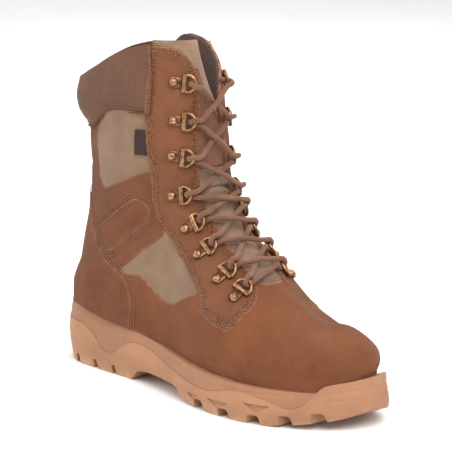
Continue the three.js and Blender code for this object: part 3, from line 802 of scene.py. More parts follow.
for name, side in (("lateral", -1), ("medial", 1)):
    lateral, end_foot = side < 0, (228, 49 * side, 28)
    sheet_piece(
        f"lining_{name}",
        [part_of(heel_rim if lateral else heel_rim[::-1], end_foot, BACK_FOOT),
         seam(BACK_FOOT, (8, 0, 100), (20, 0, 160), (17, 0, 195), BACK_TOP),
         part_of(collar_rim, BACK_TOP, RIM_LATERAL if lateral else RIM_MEDIAL),
         *([EYESTAY_TOP, THROAT_LATERAL] if lateral else [THROAT_MEDIAL]),
         seam((207, 9 * side, 92), THROAT_MIDDLE),
         seam(THROAT_MIDDLE, (218, 0, 85), LINING_END),
         seam(LINING_END, (230, 25 * side, 72), (230, 42 * side, 57), end_foot)],
        top=lambda p, away: 0.7 - wall_at(p), under=lambda p, away: -0.3 - wall_at(p),
        finish=LINING_MESH, turn=-90 * side, spacing=4, roll=0.3)


# ---- Side cloth ---------------------------------------------------------------------------------
# Canvas windows breathe at the ankle and the instep. Each is one flat cut of cloth whose edges
# run under the leather around it, so the cloth lies lowest.
WINDOWS = dict(
    ankle=[(46, -36, 190), (44, -35, 150), (52, -35, 132), (90, -36, 148), (118, -33, 158),
           (116, -35, 190), (112, -36, 214), (80, -42, 212), (56, -41, 208), (46, -36, 190)],
    instep=[(128, -32, 124), (104, -36, 109), (76, -39, 86), (96, -40.5, 79), (133, -41, 64),
            (150, -43, 66), (180, -46, 82), (156, -36, 101), (128, -32, 124)],
)
for name, side in (("lateral", 1), ("medial", -1)):
    for window, points in WINDOWS.items():
        sheet_piece(
            f"{window}_cloth_{name}", [seam(*(np.array(points) * [1, side, 1]))],
            top=-0.7, under=-1.55, finish=SIDE_CANVAS, turn=90 * side, spacing=4)


# ---- Vamp ---------------------------------------------------------------------------------------
# The vamp is one large piece of suede over the toes and along both sides of the foot. It is
# lasted down under the midsole, and the eyestay and the heel counter are sewn over its ends.
SHEET_UNDER = -1.5  # how far the leather panels reach under the last's surface
vamp_top = seam(
    (86, -39, 82), (100.8, -40.5, 84.3), (113.8, -40.5, 79.6), (133.3, -41, 70), (143, -42, 70.4),
    (160, -43.6, 79), (171.7, -44.4, 84), (190, -34, 92), (203, -14, 94))
vamp_rim = part_of(toe_rim, (86, 35, 43), (86, -38, 43))
vamp_edges = [
    other_side(vamp_top)[::-1], seam((86, 36, 82), (86, 35, 43)), vamp_rim,
    seam((86, -38, 43), (86, -39, 82)), vamp_top, THROAT_FOOT]


def vamp_height(p, away):
    """The toe is blocked full, to the top of the bumper."""
    return 3.8 * smoothstep(254, 284, p[:, 0]) * smoothstep(37, 50, p[:, 2])


sheet_piece("vamp", vamp_edges, top=vamp_height, under=SHEET_UNDER, finish=TAN_SUEDE,
            replaces=("upper",))
seams_piece("vamp_seams", [
    (vamp_top, (-2.0, -4.2)), (other_side(vamp_top), (2.0, 4.2)), (THROAT_FOOT, (2.2, 4.4))],
    0.0, BROWN_THREAD)


# ---- Quarters and ankle bands -------------------------------------------------------------------
# The quarters are suede, wrap the back of the shaft and the ankle, and frame the canvas windows.
# On each one lies a padded ankle band, a long finger that bends over the ankle bone.
QUARTER = [(19, 0, 195), (30, -27, 195), (44, -36, 196), (60, -41.5, 203), (62, -42, 199),
           (56, -40, 188), (53, -38.5, 172), (53, -36.7, 158), (58, -35.7, 145), (72, -36, 149),
           (90, -36.5, 157), (111, -36.7, 165), (119, -33, 163), (121, -32, 140), (124, -32.5, 120),
           (117, -35, 112), (104, -37.4, 103), (93, -39.5, 93), (82.7, -40.5, 84.6),
           (90, -40.5, 81), (84, -40, 74), (66, -38, 78), (50, -35, 84), (34, -28, 100),
           (20, -16, 116), (11, 0, 124)]
WINDOW_SIDE, FRONT_SIDE = slice(3, 12), slice(14, 19)  # the sewn stretches of its outline
quarter = seam(*QUARTER)
BAND = [(52, -34, 100), (61, -37.4, 95), (74, -37, 99), (90, -36.5, 112), (104, -35, 122),
        (109, -34.5, 130), (106, -35.5, 138), (96, -37, 141.5), (82, -37, 134), (66, -36.5, 123),
        (50, -35, 112), (44, -32.5, 106), (52, -34, 100)]
BACK_LINE = [(11, 0, 124), (15, 0, 150), (20, 0, 178), (19, 0, 195)]
QUARTER_ROWS, BAND_ROWS, QUARTER_HEIGHT = (-2.0, -4.4), (-1.6, -3.8), -0.1


def band_puff(p, away):
    """The band's foam: full in the middle, pressed flat under its two seams."""
    return 0.6 + 1.5 * smoothstep(4.5, 10, away) - 0.25 * np.exp(-((away - 3.6) / 1.2) ** 2)


for name, side in (("lateral", 1), ("medial", -1)):
    flip = [1, side, 1]
    sheet_piece(
        f"quarter_{name}", [settle(quarter * flip), seam(*BACK_LINE)], top=QUARTER_HEIGHT,
        under=SHEET_UNDER, finish=BROWN_SUEDE, turn=90 * side)
    band = settle(seam(*BAND) * flip)
    ankle_band = sheet_piece(
        f"ankle_band_{name}", [band], top=band_puff, under=-0.6, finish=BROWN_SUEDE,
        turn=90 * side, spacing=1.8)
    sewn = [settle(seam(*QUARTER[stretch]) * flip) for stretch in (WINDOW_SIDE, FRONT_SIDE)]
    seams_piece(f"quarter_seams_{name}", [(line, QUARTER_ROWS) for line in sewn],
                QUARTER_HEIGHT, BROWN_THREAD, side)
    seams_piece(f"ankle_band_seams_{name}", [(band, BAND_ROWS)], 0.5, TAN_THREAD, side)


# ---- Heel counter -------------------------------------------------------------------------------
# A stiff cup of suede holds the heel. Its upper edge climbs over the quarters at the back, and
# two rows of stitches follow it down to the sole on both sides.
COUNTER_HEIGHT = 0.75
heel_edge = seam(
    (12, 0, 138), (17, -14, 135), (27, -22, 129), (43.6, -32, 107), (60.8, -37.4, 91),
    (81.7, -40.7, 82.6), (92, -41.6, 74.8), (96.6, -41.8, 62), (95, -40, 50), (93.6, -39, 43))
counter_foot = part_of(heel_rim, (93.6, -39, 43), (93.6, 36, 43))
sheet_piece("heel_counter", [heel_edge, counter_foot, other_side(heel_edge)[::-1]],
            top=COUNTER_HEIGHT, under=SHEET_UNDER, finish=HEEL_SUEDE, turn=180)
seams_piece("heel_counter_seams", [
    (heel_edge, (2.0, 4.6)), (other_side(heel_edge), (-2.0, -4.6))], COUNTER_HEIGHT, TAN_THREAD)


# ---- Eyestays -----------------------------------------------------------------------------------
# The eyestays carry the rings. Each is one long strip of suede beside the throat that widens
# below into a flap over the vamp, sewn down with two rows of stitches all the way round.
EYESTAY_HEIGHT, EYESTAY_ROWS, FLAP_ROWS = 0.62, (1.9, 3.9), (1.5, 3.2, 4.9)
eyestay_back = seam(
    (105, -34.5, 261), (105.8, -35, 241.6), (105.7, -37, 220), (105.5, -38, 207),
    (108, -38.3, 190), (111, -36.9, 168), (111.8, -35.3, 151), (112, -34.2, 139),
    (117.5, -33, 128.6), (127, -33.6, 120), (146.3, -36, 104), (167, -42, 88.5), (177, -46, 80),
    (180.5, -49, 71))
flap_foot = seam((180.5, -49, 71), (196, -51, 66), (212.4, -50.7, 62.2))
flap_front = seam(
    (212.4, -50.7, 62.2), (215.5, -42, 70.5), (216.8, -31, 79), (213.5, -23, 84.5),
    (208, -17.5, 89.5), (203, -14, 94))
BACK_SHIFT = dict(z=[120, 185, 215, 262], shift=[0, -3, -9, -17])
shift_back = smooth_curve(BACK_SHIFT["z"], BACK_SHIFT["shift"])


def medial_eyestay_back():
    """The medial strip's back edge, which leans back more towards the collar."""
    mirrored = eyestay_back * [1, -1, 1]
    mirrored[:, 0] += np.where(
        mirrored[:, 2] > BACK_SHIFT["z"][0], shift_back(mirrored[:, 2]), 0)
    mirrored = settle(mirrored)
    return mirrored[mirrored[:, 2] < collar_medial_z(mirrored[:, 0])]


def eyestay(name, side, behind, foot, front, throat, top_edge, corner):
    across = part_of(collar_rim, behind[0], corner)
    sheet_piece(
        f"eyestay_{name}", [behind, foot, front, throat, *top_edge, across[::-1]],
        top=EYESTAY_HEIGHT, under=-1.6, finish=EYESTAY_SUEDE, turn=60 * side,
        roll=0.8, spacing=2.2)
    seams_piece(f"eyestay_seams_{name}", [
        (behind, EYESTAY_ROWS), (foot, FLAP_ROWS), (front, EYESTAY_ROWS),
        (throat, EYESTAY_ROWS[:1]), *[(edge, EYESTAY_ROWS) for edge in top_edge]],
        EYESTAY_HEIGHT, TAN_THREAD, side)


eyestay("lateral", 1, eyestay_back, flap_foot, flap_front, THROAT_LATERAL[::-1],
        [EYESTAY_TOP[::-1]], RIM_LATERAL)
eyestay("medial", -1, medial_eyestay_back(), other_side(flap_foot), other_side(flap_front),
        THROAT_MEDIAL[::-1], [], RIM_MEDIAL)


# ---- Collar -------------------------------------------------------------------------------------
# The collar is a thick roll of foam under smooth leather, from one eyestay round the back to the
# other. Its top edge is rolled over the foam and sewn to the lining.
PAD_FRONT, PAD_MEDIAL = 107, 97  # how far forward the pad reaches on its two sides
pad_low = seam(
    (111, -37, 207.5), (104.6, -38, 207.5), (88, -41.5, 207), (76, -42.6, 205.5),
    (66, -42.3, 201.5), (58, -41, 194.5), (50, -38.5, 189), (38, -33, 187), (25, -20, 187),
    (19.5, 0, 187))
pad_top = part_of(collar_rim, (PAD_FRONT, -33, 262), (PAD_MEDIAL, 38, 252))
pad_medial_low = other_side(pad_low)[::-1]
pad_medial_low = pad_medial_low[pad_medial_low[:, 0] < PAD_MEDIAL]


def pad_top_height(p, away):
    """The foam swells away from the pad's edge, more at the back, and a seam presses it down."""
    back = 1 - smoothstep(60, 105, p[:, 0])
    pressed = 0.4 * np.exp(-((away - 3.2) / 1.6) ** 2)
    return 0.2 + (2.2 + 2.4 * back) * smoothstep(0, 17, away) - pressed


pad = sheet_piece(
    "collar_pad",
    [pad_low, pad_medial_low, seam((PAD_MEDIAL, 40, 207), (PAD_MEDIAL, 38, 252)), pad_top[::-1],
     seam((PAD_FRONT, -33, 262), (111, -36, 235), (111, -37, 207))],
    top=pad_top_height, under=lambda p, away: 1.8 - wall_at(p), finish=COLLAR_LEATHER,
    turn=180, roll=3.2, under_roll=2.6)
seams_piece("collar_seams", [
    (pad_low, (-3.0,)), (pad_medial_low[::-1], (3.0,))], 0.6, BROWN_THREAD)


# ---- Label --------------------------------------------------------------------------------------
# A small woven tab, folded in two, is caught under the back seam of the lateral eyestay. It is
# left blank.
RIB_PITCH = 0.0007
LABEL = [(110, -37, 196), (98.5, -40, 195), (98, -40, 176), (109.5, -37, 177)]


def label_paint(tree, where):
    parts = coordinates(tree, where)
    ribs = wave(tree, parts["Z"], 2 * math.pi / RIB_PITCH)
    lint = noise(tree, where, 1800, 2)
    colour = spread(tree, lint, 0.3, 0.7, shade(46, 35, 33), shade(72, 55, 51))
    return colour, ramp(tree, lint, (0.3, 0.75), (0.7, 0.9)), total(tree, ribs, lint), 0.15


sheet_piece(
    "label", [seam(*corners) for corners in zip(LABEL, LABEL[1:] + LABEL[:1])],
    top=0.5, under=-1.0, finish=material("label weave", label_paint, Specular_IOR_Level=0.2),
    turn=90, roll=0.4, spacing=1.6)


# ---- Tongue -------------------------------------------------------------------------------------
# The tongue is soft foam between canvas faces. It has slipped to the lateral side, and it creases
# across where the ankle bends. A smooth leather facing is sewn over its upper half.
TONGUE = dict(
    row=[0.98, 1.4, 2, 2.7, 3.3, 4, 5, 9, 13, 16.3],
    lateral=[47, 52, 52, 50, 47, 46, 44, 42, 38, 34],
    medial=[-3, -1, 3, 9, 17, 26, 35, 42, 40, 36],
)
TONGUE_DEPTH = dict(under=8.0, top=4.0)
TONGUE_CLOTH = dict(across=0.075, row=0.0125, pitch=0.0017)  # its cut width, a row's length
TONGUE_FOLDS = [  # where the tongue creases across, as a row of the fan, and how deeply
    dict(row=6.4, depth=1.2, slant=0.5), dict(row=8.1, depth=1.7, slant=-0.4),
    dict(row=9.3, depth=1.9, slant=0.3), dict(row=10.4, depth=1.8, slant=-0.3),
    dict(row=11.5, depth=1.8, slant=0.4), dict(row=12.7, depth=1.5, slant=-0.2),
    dict(row=13.9, depth=1.2, slant=0.3),
]
tongue_lateral = smooth_curve(TONGUE["row"], TONGUE["lateral"])
tongue_medial = smooth_curve(TONGUE["row"], TONGUE["medial"])


def tongue_grid(first, end, rows, across, share_from=0.0, share_to=1.0):
    """Rows, shares across and points of the last behind which the tongue lies."""
    lines = np.linspace(first, end, rows), np.linspace(share_from, share_to, across)
    row, share = (axis.ravel() for axis in np.meshgrid(*lines, indexing="ij"))
    degrees = tongue_lateral(row) * (1 - share) - tongue_medial(row) * share
    return row, share, on_last(row, degrees)


def tongue_face(row, share):
    """How far the tongue's face lies under the last: crowned, creased across, thin at its edges."""
    across = np.clip(1 - np.abs(2 * share - 1) ** 3, 0, 1)
    height = 2.6 * across
    for fold in TONGUE_FOLDS:
        away = (row - fold["row"] - fold["slant"] * (share - 0.5)) / 0.30
        height -= fold["depth"] * np.exp(-(away**2)) * across
    height += 0.35 * np.sin(row * 5.3 + 6 * share) * np.sin(11 * share + row)
    return height - TONGUE_DEPTH["top"] - 2.5 * smoothstep(15.7, 16.3, row)


def facing_out(piece):
    """Turns a closed piece's faces outwards."""
    bm = bmesh.new()
    bm.from_mesh(piece.data)
    bmesh.ops.recalc_face_normals(bm, faces=bm.faces)
    bm.to_mesh(piece.data)
    bm.free()
    return piece

def padded_grid(name, rows, across, place, face_height, back_height, edge, finish, **given):
    """A closed pad over a grid of points, thinner towards all of its edges."""
    row, share, p = place
    n = outward(p)
    i, j = np.meshgrid(np.arange(rows), np.arange(across), indexing="ij")
    steps = np.minimum.reduce([i, rows - 1 - i, j, across - 1 - j]).ravel()
    closing = np.sqrt(np.clip(1 - (1 - np.minimum(steps / edge, 1)) ** 2, 0, 1))
    middle, half = (face_height + back_height) / 2, (face_height - back_height) / 2
    half = half * (0.25 + 0.75 * closing)
    points = np.vstack([p + n * (middle + half)[:, None], p + n * (middle - half)[:, None]])
    size = rows * across
    at = np.arange(size).reshape(rows, across)
    faces = []
    for r in range(rows - 1):
        for c in range(across - 1):
            face = [at[r, c], at[r, c + 1], at[r + 1, c + 1], at[r + 1, c]]
            faces += [face[::-1], [q + size for q in face]]
    border = [*at[0], *at[1:, -1], *at[-1, -2::-1], *at[-2:0:-1, 0]]
    for a, b in zip(border, border[1:] + border[:1]):
        faces.append([a, b, b + size, a + size])
    faces = [[int(q) for q in face] for face in faces]
    piece = facing_out(mesh_piece(name, points, faces, finish, "tongue_canvas", **given))
    layer = piece.data.uv_layers.new(name="cloth")
    flat = np.stack([share * TONGUE_CLOTH["across"], -row * TONGUE_CLOTH["row"]], 1)
    layer.data.foreach_set("uv", np.vstack([flat, flat])[corner_points(piece)].ravel())
    return piece


def corner_points(piece):
    """Which point each corner of each face stands on."""
    index = np.empty(len(piece.data.loops), int)
    piece.data.loops.foreach_get("vertex_index", index)
    return index


def tongue_cloth(tree, where):
    uv = add_node(tree, "UVMap", uv_map="cloth").outputs["UV"]
    parts = coordinates(tree, uv)
    turns = 2 * math.pi / TONGUE_CLOTH["pitch"]
    warp, weft = (maths(tree, "ABSOLUTE", wave(tree, parts[axis], turns)) for axis in "XY")
    hatch = product(tree, warp, weft)
    clouds = ramp(tree, noise(tree, where, 70, 4, 0.6), (0.3, 0.0), (0.7, 1.0))
    colour = mixed(tree, clouds, shade(138, 106, 84), shade(169, 136, 109))
    # Painted shade: the colour darkens in the gaps between the yarns.
    colour = dulled(tree, 0.5, colour, hatch, (0.0, 0.55), (0.5, 1.0))
    return colour, ramp(tree, clouds, (0.0, 0.85), (1.0, 0.95)), hatch, 0.35


PAD_GRID, FACING_GRID = (150, 44), (60, 26)  # rows, and points across
tongue_place = tongue_grid(TONGUE["row"][0], TONGUE["row"][-1], *PAD_GRID)
tongue_height = tongue_face(*tongue_place[:2])
tongue_back = np.minimum(-TONGUE_DEPTH["under"], tongue_height - 3.2)
tongue = padded_grid(
    "tongue_pad", *PAD_GRID, tongue_place, tongue_height, tongue_back, 3,
    material("tongue canvas", tongue_cloth, Sheen_Weight=0.2, Specular_IOR_Level=0.2),
    replaces=("tongue",), sharp=60)

FACING = dict(first=1.9, end=6.1, start=0.04, stop=0.84, proud=0.7, thick=1.4)
facing_place = tongue_grid(
    FACING["first"], FACING["end"], *FACING_GRID, FACING["start"], FACING["stop"])
facing_height = tongue_face(*facing_place[:2]) + FACING["proud"]
padded_grid(
    "tongue_facing", *FACING_GRID, facing_place, facing_height, facing_height - FACING["thick"], 2,
    smooth_leather("tongue leather", shade(140, 94, 68), shade(112, 73, 53)), sharp=60)


# ---- Insole -------------------------------------------------------------------------------------
# The footbed is a die-cut sheet of foam under cloth, which lies loose on the midsole inside the
# upper. Its edge turns up at the heel.
INSOLE = dict(thick=4.0, clear=3.3, rings=14, under=0.4)


def insole_paint(tree, where):
    cells = noise(tree, where, 900, 3, 0.7)
    clouds = ramp(tree, noise(tree, where, 45, 3), (0.35, 0.0), (0.65, 1.0))
    colour = mixed(tree, clouds, shade(79, 60, 49), shade(101, 78, 63))
    colour = dulled(tree, 0.5, colour, cells, (0.3, 0.6), (0.6, 1.0))
    return colour, ramp(tree, cells, (0.3, 0.8), (0.7, 0.95)), cells, 0.3


def closed_loft(rings, looped=False):
    """Points and faces of a solid through closed rings of points, with flat ends."""
    points = np.array(rings).reshape(-1, 3)
    sides, count = len(rings[0]), len(rings)
    faces = []
    for i in range(count if looped else count - 1):
        for k in range(sides):
            a, b = i * sides + k, i * sides + (k + 1) % sides
            c, d = ((i + 1) % count) * sides + (k + 1) % sides, ((i + 1) % count) * sides + k
            faces.append([a, b, c, d])
    if not looped:
        faces.append(list(range(sides))[::-1])
        faces.append([(count - 1) * sides + k for k in range(sides)])
    return points, faces


bed_rim = rim(lambda x: sole_top(x) + 2.5, MIDDLE, 0, -360)[:-1]
bed_n = outward(bed_rim) * [1, 1, 0]
bed_n /= np.linalg.norm(bed_n, axis=1, keepdims=True)
bed_edge = bed_rim - bed_n * INSOLE["clear"]
spine_x = np.clip(bed_edge[:, 0], 38, 255)
spine = np.stack([spine_x, foot_lean(spine_x), bed_edge[:, 2]], 1)
rings = []
for k in range(INSOLE["rings"]):
    share = 1 - 0.999 * (k / (INSOLE["rings"] - 1))
    ring = spine + (bed_edge - spine) * share
    # Dished towards the middle; the rim is raised, and its very edge rounded off.
    top = sole_top(ring[:, 0]) + INSOLE["under"] + INSOLE["thick"] - 0.9 * (1 - share**4)
    ring[:, 2] = top + 0.8 * (share > 0.99) - (1.0 if k == 0 else 0)
    rings.append(ring)
below = [r.copy() for r in rings[::-1]]
for ring in below:
    ring[:, 2] = sole_top(ring[:, 0]) + INSOLE["under"]
bed_points, bed_faces = closed_loft(rings + below)
insole = facing_out(mesh_piece(
    "footbed", bed_points, bed_faces[:-2],
    material("footbed foam", insole_paint, Specular_IOR_Level=0.2),
    "insole_foam", replaces=("insole",)))


# ---- Midsole and outsole ------------------------------------------------------------------------
# The sole is moulded in two rubbers: a smooth midsole band under the upper, and a tougher outsole
# with chunky lugs, whose wavy upper edge rises over the shank and covers the toe as a bumper.
OUTLINE = [(0, 0), (6, -22), (24, -36.5), (60, -40), (100, -41), (140, -47), (185, -57), (225, -57),
           (262, -44), (290, -22), (303, 4), (298, 30), (275, 46), (235, 53), (195, 49), (150, 40),
           (105, 36.5), (60, 38.5), (24, 36), (6, 22)]
SOLE_WALL = dict(
    share=[0, 0.22, 0.5, 0.8, 1.05, 1.25, 1.45, 1.6],
    inset=[4, 2, 0.4, 1.2, 2.6, 3.0, 3.6, 4],
)
PARTING = dict(  # the wavy line between the two rubbers
    x=[-10, 34, 49, 66, 74, 92, 108, 150, 193, 228, 246, 266, 281, 310],
    z=[34.5, 34.5, 29.5, 16.5, 17.5, 29, 31, 22.5, 17.5, 23, 21, 15.5, 25, 26.5],
)
UNDERSIDE = dict(
    x=[-10, 0, 12, 92, 103, 122, 157, 160, 190, 200, 240, 262, 280, 295, 310],
    z=[5, 4, 0, 0, 9, 11.5, 10.5, 3.5, 0.6, 0, 0, 2.5, 5.5, 9.5, 20],
)
GROOVES = [dict(x=28, width=4), dict(x=49.5, width=4), dict(x=71.5, width=4),
           dict(x=181, width=10), dict(x=208.5, width=10), dict(x=234.5, width=10),
           dict(x=258.5, width=8.5), dict(x=279, width=8)]
CHANNELS = [dict(start=168, end=275, y=-24, width=5), dict(start=168, end=275, y=22, width=5),
            dict(start=12, end=88, y=-16, width=4), dict(start=12, end=88, y=16, width=4)]
LUG_DEPTH, CHANNEL_DEPTH = 6.8, 4
underside = smooth_curve(UNDERSIDE["x"], UNDERSIDE["z"])
wall_inset = smooth_curve(SOLE_WALL["share"], SOLE_WALL["inset"])


def rubber(name, light, dark, floor_light):
    """Moulded rubber: matt, faintly clouded, with a fine mould texture, and painted light from the
    floor on its lowest millimetres.
    """
    def paint(tree, where):
        clouds = noise(tree, where, 30, 4, 0.6)
        fine = noise(tree, where, 1300, 2, 0.6)
        colour = spread(tree, clouds, 0.3, 0.7, dark, light)
        # Painted light: the lowest 9 mm, nearest the pale floor, are lightened in patches.
        low = fading(tree, coordinates(tree, where)["Z"], 0.009, 0.0005)
        light_patches = ramp(tree, noise(tree, where, 120, 4), (0.35, 0.1), (0.65, 0.8))
        colour = mixed(tree, product(tree, low, light_patches), colour, floor_light)
        colour = dulled(tree, 0.35, colour, fine, (0.3, 0.8), (0.6, 1.0))
        roughness = ramp(tree, noise(tree, where, 260, 3), (0.3, 0.5), (0.7, 0.68))
        return colour, roughness, total(tree, fine, product(tree, clouds, 0.8)), 0.12
    return material(name, paint, Specular_IOR_Level=0.4)


SOLE_CREASES = [  # soft moulded lines along the wall
    dict(start=284, end=330, z=21.5, rise=0.12, depth=0.55),
    dict(start=286, end=330, z=27.5, rise=0.15, depth=0.45),
    dict(start=-10, end=48, z=39.0, rise=0.0, depth=0.35),
    dict(start=-10, end=44, z=20.0, rise=0.0, depth=0.45),
    dict(start=206, end=264, z=23.2, rise=0.02, depth=0.5),
]
CREASE = dict(width=0.8, fade=5)
sole_loop = spline([(x, y, 0) for x, y in OUTLINE], 2.2, closed=True)[:-1]


def sole_form(swell=0.0):
    """Rings up the sole's whole block, from its underside to above its upper edge."""
    tangent = np.roll(sole_loop, -1, axis=0) - np.roll(sole_loop, 1, axis=0)
    tangent /= np.linalg.norm(tangent, axis=1, keepdims=True)
    inwards = np.stack([-tangent[:, 1], tangent[:, 0], 0 * tangent[:, 0]], 1)
    top, rings = sole_top(sole_loop[:, 0]), []
    for share in np.linspace(-0.05, 1.6, 62):
        ring = sole_loop + inwards * (wall_inset(share) - swell)
        ring[:, 2] = top * share
        for crease in SOLE_CREASES:
            x, start, end = ring[:, 0], crease["start"], crease["end"]
            above = ring[:, 2] - crease["z"] - crease["rise"] * (x - start)
            near = np.exp(-((above / CREASE["width"]) ** 2))
            ends = smoothstep(start, start + CREASE["fade"], x)
            ends = ends * (1 - smoothstep(end - CREASE["fade"], end, x))
            ring += inwards * (crease["depth"] * near * ends)[:, None] * [1, 1, 0]
        rings.append(ring)
    return closed_loft(rings)


def block(name, points, faces):
    """A form to cut with, or to be cut."""
    return facing_out(form(name, points, faces))


SLAB = dict(start=-30, end=340, step=2.5, half=100)


def slab(low, high):
    """A wide block between two curves of the side view."""
    rings, half = [], SLAB["half"]
    for x in np.arange(SLAB["start"], SLAB["end"], SLAB["step"]):
        bottom, top = float(low(x)), float(high(x))
        rings.append([(x, -half, bottom), (x, half, bottom), (x, half, top), (x, -half, top)])
    return block("slab", *closed_loft(rings))


def combine(piece, tool, operation="DIFFERENCE"):
    """Cuts a piece with a tool, keeps what they share, or joins them; the tool is used up."""
    select_only(piece)
    modifier = piece.modifiers.new("cut", "BOOLEAN")
    modifier.operation, modifier.object, modifier.solver = operation, tool, "EXACT"
    bpy.ops.object.modifier_apply(modifier="cut")
    bpy.data.objects.remove(tool)
    piece.select_set(False)
    return piece


def tapered_bar(middle, size, spread):
    """A rounded bar across or along the tread, wider at the ground, to cut a moulded groove."""
    place = (np.array(middle) + HEEL) / 1000
    bpy.ops.object.select_all(action="DESELECT")
    bpy.ops.mesh.primitive_cube_add(size=1, location=place)
    bar = bpy.context.active_object
    bar.scale = [s / 1000 for s in size]
    bpy.ops.object.transform_apply(location=True, rotation=True, scale=True)
    bpy.ops.object.mode_set(mode="EDIT")
    bm = bmesh.from_edit_mesh(bar.data)
    for face in bm.faces:
        face.select_set(face.normal.z < -0.9)
    bmesh.update_edit_mesh(bar.data)
    bpy.ops.transform.resize(value=(1 + spread / size[0], 1 + spread / size[1], 1))
    bm = bmesh.from_edit_mesh(bar.data)
    for edge in bm.edges:
        edge.select_set(all(v.co.z > place[2] for v in edge.verts))
    bmesh.update_edit_mesh(bar.data)
    bpy.ops.mesh.bevel(offset=min(size[:2]) * 0.00022, segments=3)
    bpy.ops.object.mode_set(mode="OBJECT")
    return bar


OUTSOLE_TOP = dict(
    x=PARTING["x"][:-2] + [275, 280, 284.5, 295, 310],
    z=PARTING["z"][:-2] + [19, 26.5, 33, 36, 40],
)
outsole_top = smooth_curve(OUTSOLE_TOP["x"], OUTSOLE_TOP["z"])
TOE_BLOCK = dict(levels=np.arange(17.0, 56.0, 3.0), behind=262, sides=260)
toe_rings = [rim(lambda x, z=z: z + 0 * x, MIDDLE, 0, -360)[:-1] for z in TOE_BLOCK["levels"]]


def even_loop(ring, count):
    """A closed ring with its points an even step apart."""
    path = np.vstack([ring, ring[:1]])
    run = run_along(path)
    return points_at(path, run, np.linspace(0, run[-1], count + 1)[:-1])


foot_block = block("foot", *closed_loft([
    even_loop(ring[ring[:, 0] > TOE_BLOCK["behind"]], TOE_BLOCK["sides"]) for ring in toe_rings]))
outsole = block("outsole_lugs", *sole_form(swell=0.45))
combine(outsole, slab(underside, outsole_top), "INTERSECT")
combine(outsole, foot_block)
for groove in GROOVES:
    x = groove["x"] + groove["width"] / 2
    size = (groove["width"] - 0.6, 160, LUG_DEPTH + 8)
    height = float(underside(x)) + LUG_DEPTH + 0.6 - size[2] / 2
    combine(outsole, tapered_bar((x, 0, height), size, 4.0))
for channel in CHANNELS:
    x = (channel["start"] + channel["end"]) / 2
    size = (channel["end"] - channel["start"], channel["width"] - 1, CHANNEL_DEPTH + 6)
    combine(outsole, tapered_bar((x, channel["y"], CHANNEL_DEPTH - size[2] / 2), size, 2))

RECESSES = [dict(x=209, z=10.5, length=2.1, height=0.62),
            dict(x=244, z=14, length=2.0, height=0.66),
            dict(x=180, z=9.5, length=1.3, height=0.5)]
RECESS_CUT = dict(radius=0.0062, depth=0.0042, rounding=0.0007)
for recess in RECESSES:
    for side in (-1, 1):
        wall = sole_loop[sole_loop[:, 1] * side > 20]
        i = int(np.argmin(np.abs(wall[:, 0] - recess["x"])))
        place = (wall[i] + np.array([0, 0, recess["z"]]) + HEEL) / 1000
        along_wall = wall[min(i + 1, len(wall) - 1)] - wall[i - 1]
        bpy.ops.object.select_all(action="DESELECT")
        bpy.ops.mesh.primitive_cylinder_add(
            vertices=3, radius=RECESS_CUT["radius"], depth=RECESS_CUT["depth"], location=place)
        wedge = bpy.context.active_object
        wedge.scale = (recess["length"], recess["height"], 1)
        bpy.ops.object.transform_apply(location=False, rotation=False, scale=True)
        wedge.rotation_euler = (math.pi / 2, math.pi, math.atan2(along_wall[1], along_wall[0]))
        bpy.ops.object.transform_apply(location=True, rotation=True, scale=True)
        bpy.ops.object.mode_set(mode="EDIT")
        bpy.ops.mesh.select_all(action="SELECT")
        bpy.ops.mesh.bevel(offset=RECESS_CUT["rounding"], segments=2)
        bpy.ops.object.mode_set(mode="OBJECT")
        combine(outsole, wedge)

midsole = block("midsole_band", *sole_form())
combine(midsole, slab(lambda x: outsole_top(x) + 0.05, lambda x: 70), "INTERSECT")
combine(midsole, slab(lambda x: -5, lambda x: sole_top(x) + 0.4), "INTERSECT")

# Each rubber's third colour is painted light from the floor, laid on its lowest millimetres.
OUTSOLE_RUBBER = rubber(
    "outsole rubber", shade(174, 126, 93), shade(154, 108, 78), shade(194, 154, 122))
MIDSOLE_RUBBER = rubber(
    "midsole rubber", shade(160, 113, 82), shade(143, 100, 73), shade(172, 129, 98))


def moulded(piece, width, finish, node):
    """Rounds a moulded piece's edges, smooths it and puts it in the boot."""
    select_only(piece)
    weld = piece.modifiers.new("weld", "WELD")
    weld.merge_threshold = 0.00012
    bpy.ops.object.modifier_apply(modifier="weld")
    rounding = piece.modifiers.new("round", "BEVEL")
    rounding.width, rounding.segments, rounding.limit_method = width / 1000, 3, "ANGLE"
    rounding.angle_limit, rounding.use_clamp_overlap = math.radians(38), True
    bpy.ops.object.modifier_apply(modifier="round")
    bpy.ops.object.shade_smooth_by_angle(angle=math.radians(35))
    piece.select_set(False)
    piece.data.materials.clear()
    piece.data.materials.append(finish)
    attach(piece, "root")
    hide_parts(node)


moulded(outsole, 0.7, OUTSOLE_RUBBER, "outsole")
moulded(midsole, 0.9, MIDSOLE_RUBBER, "midsole")


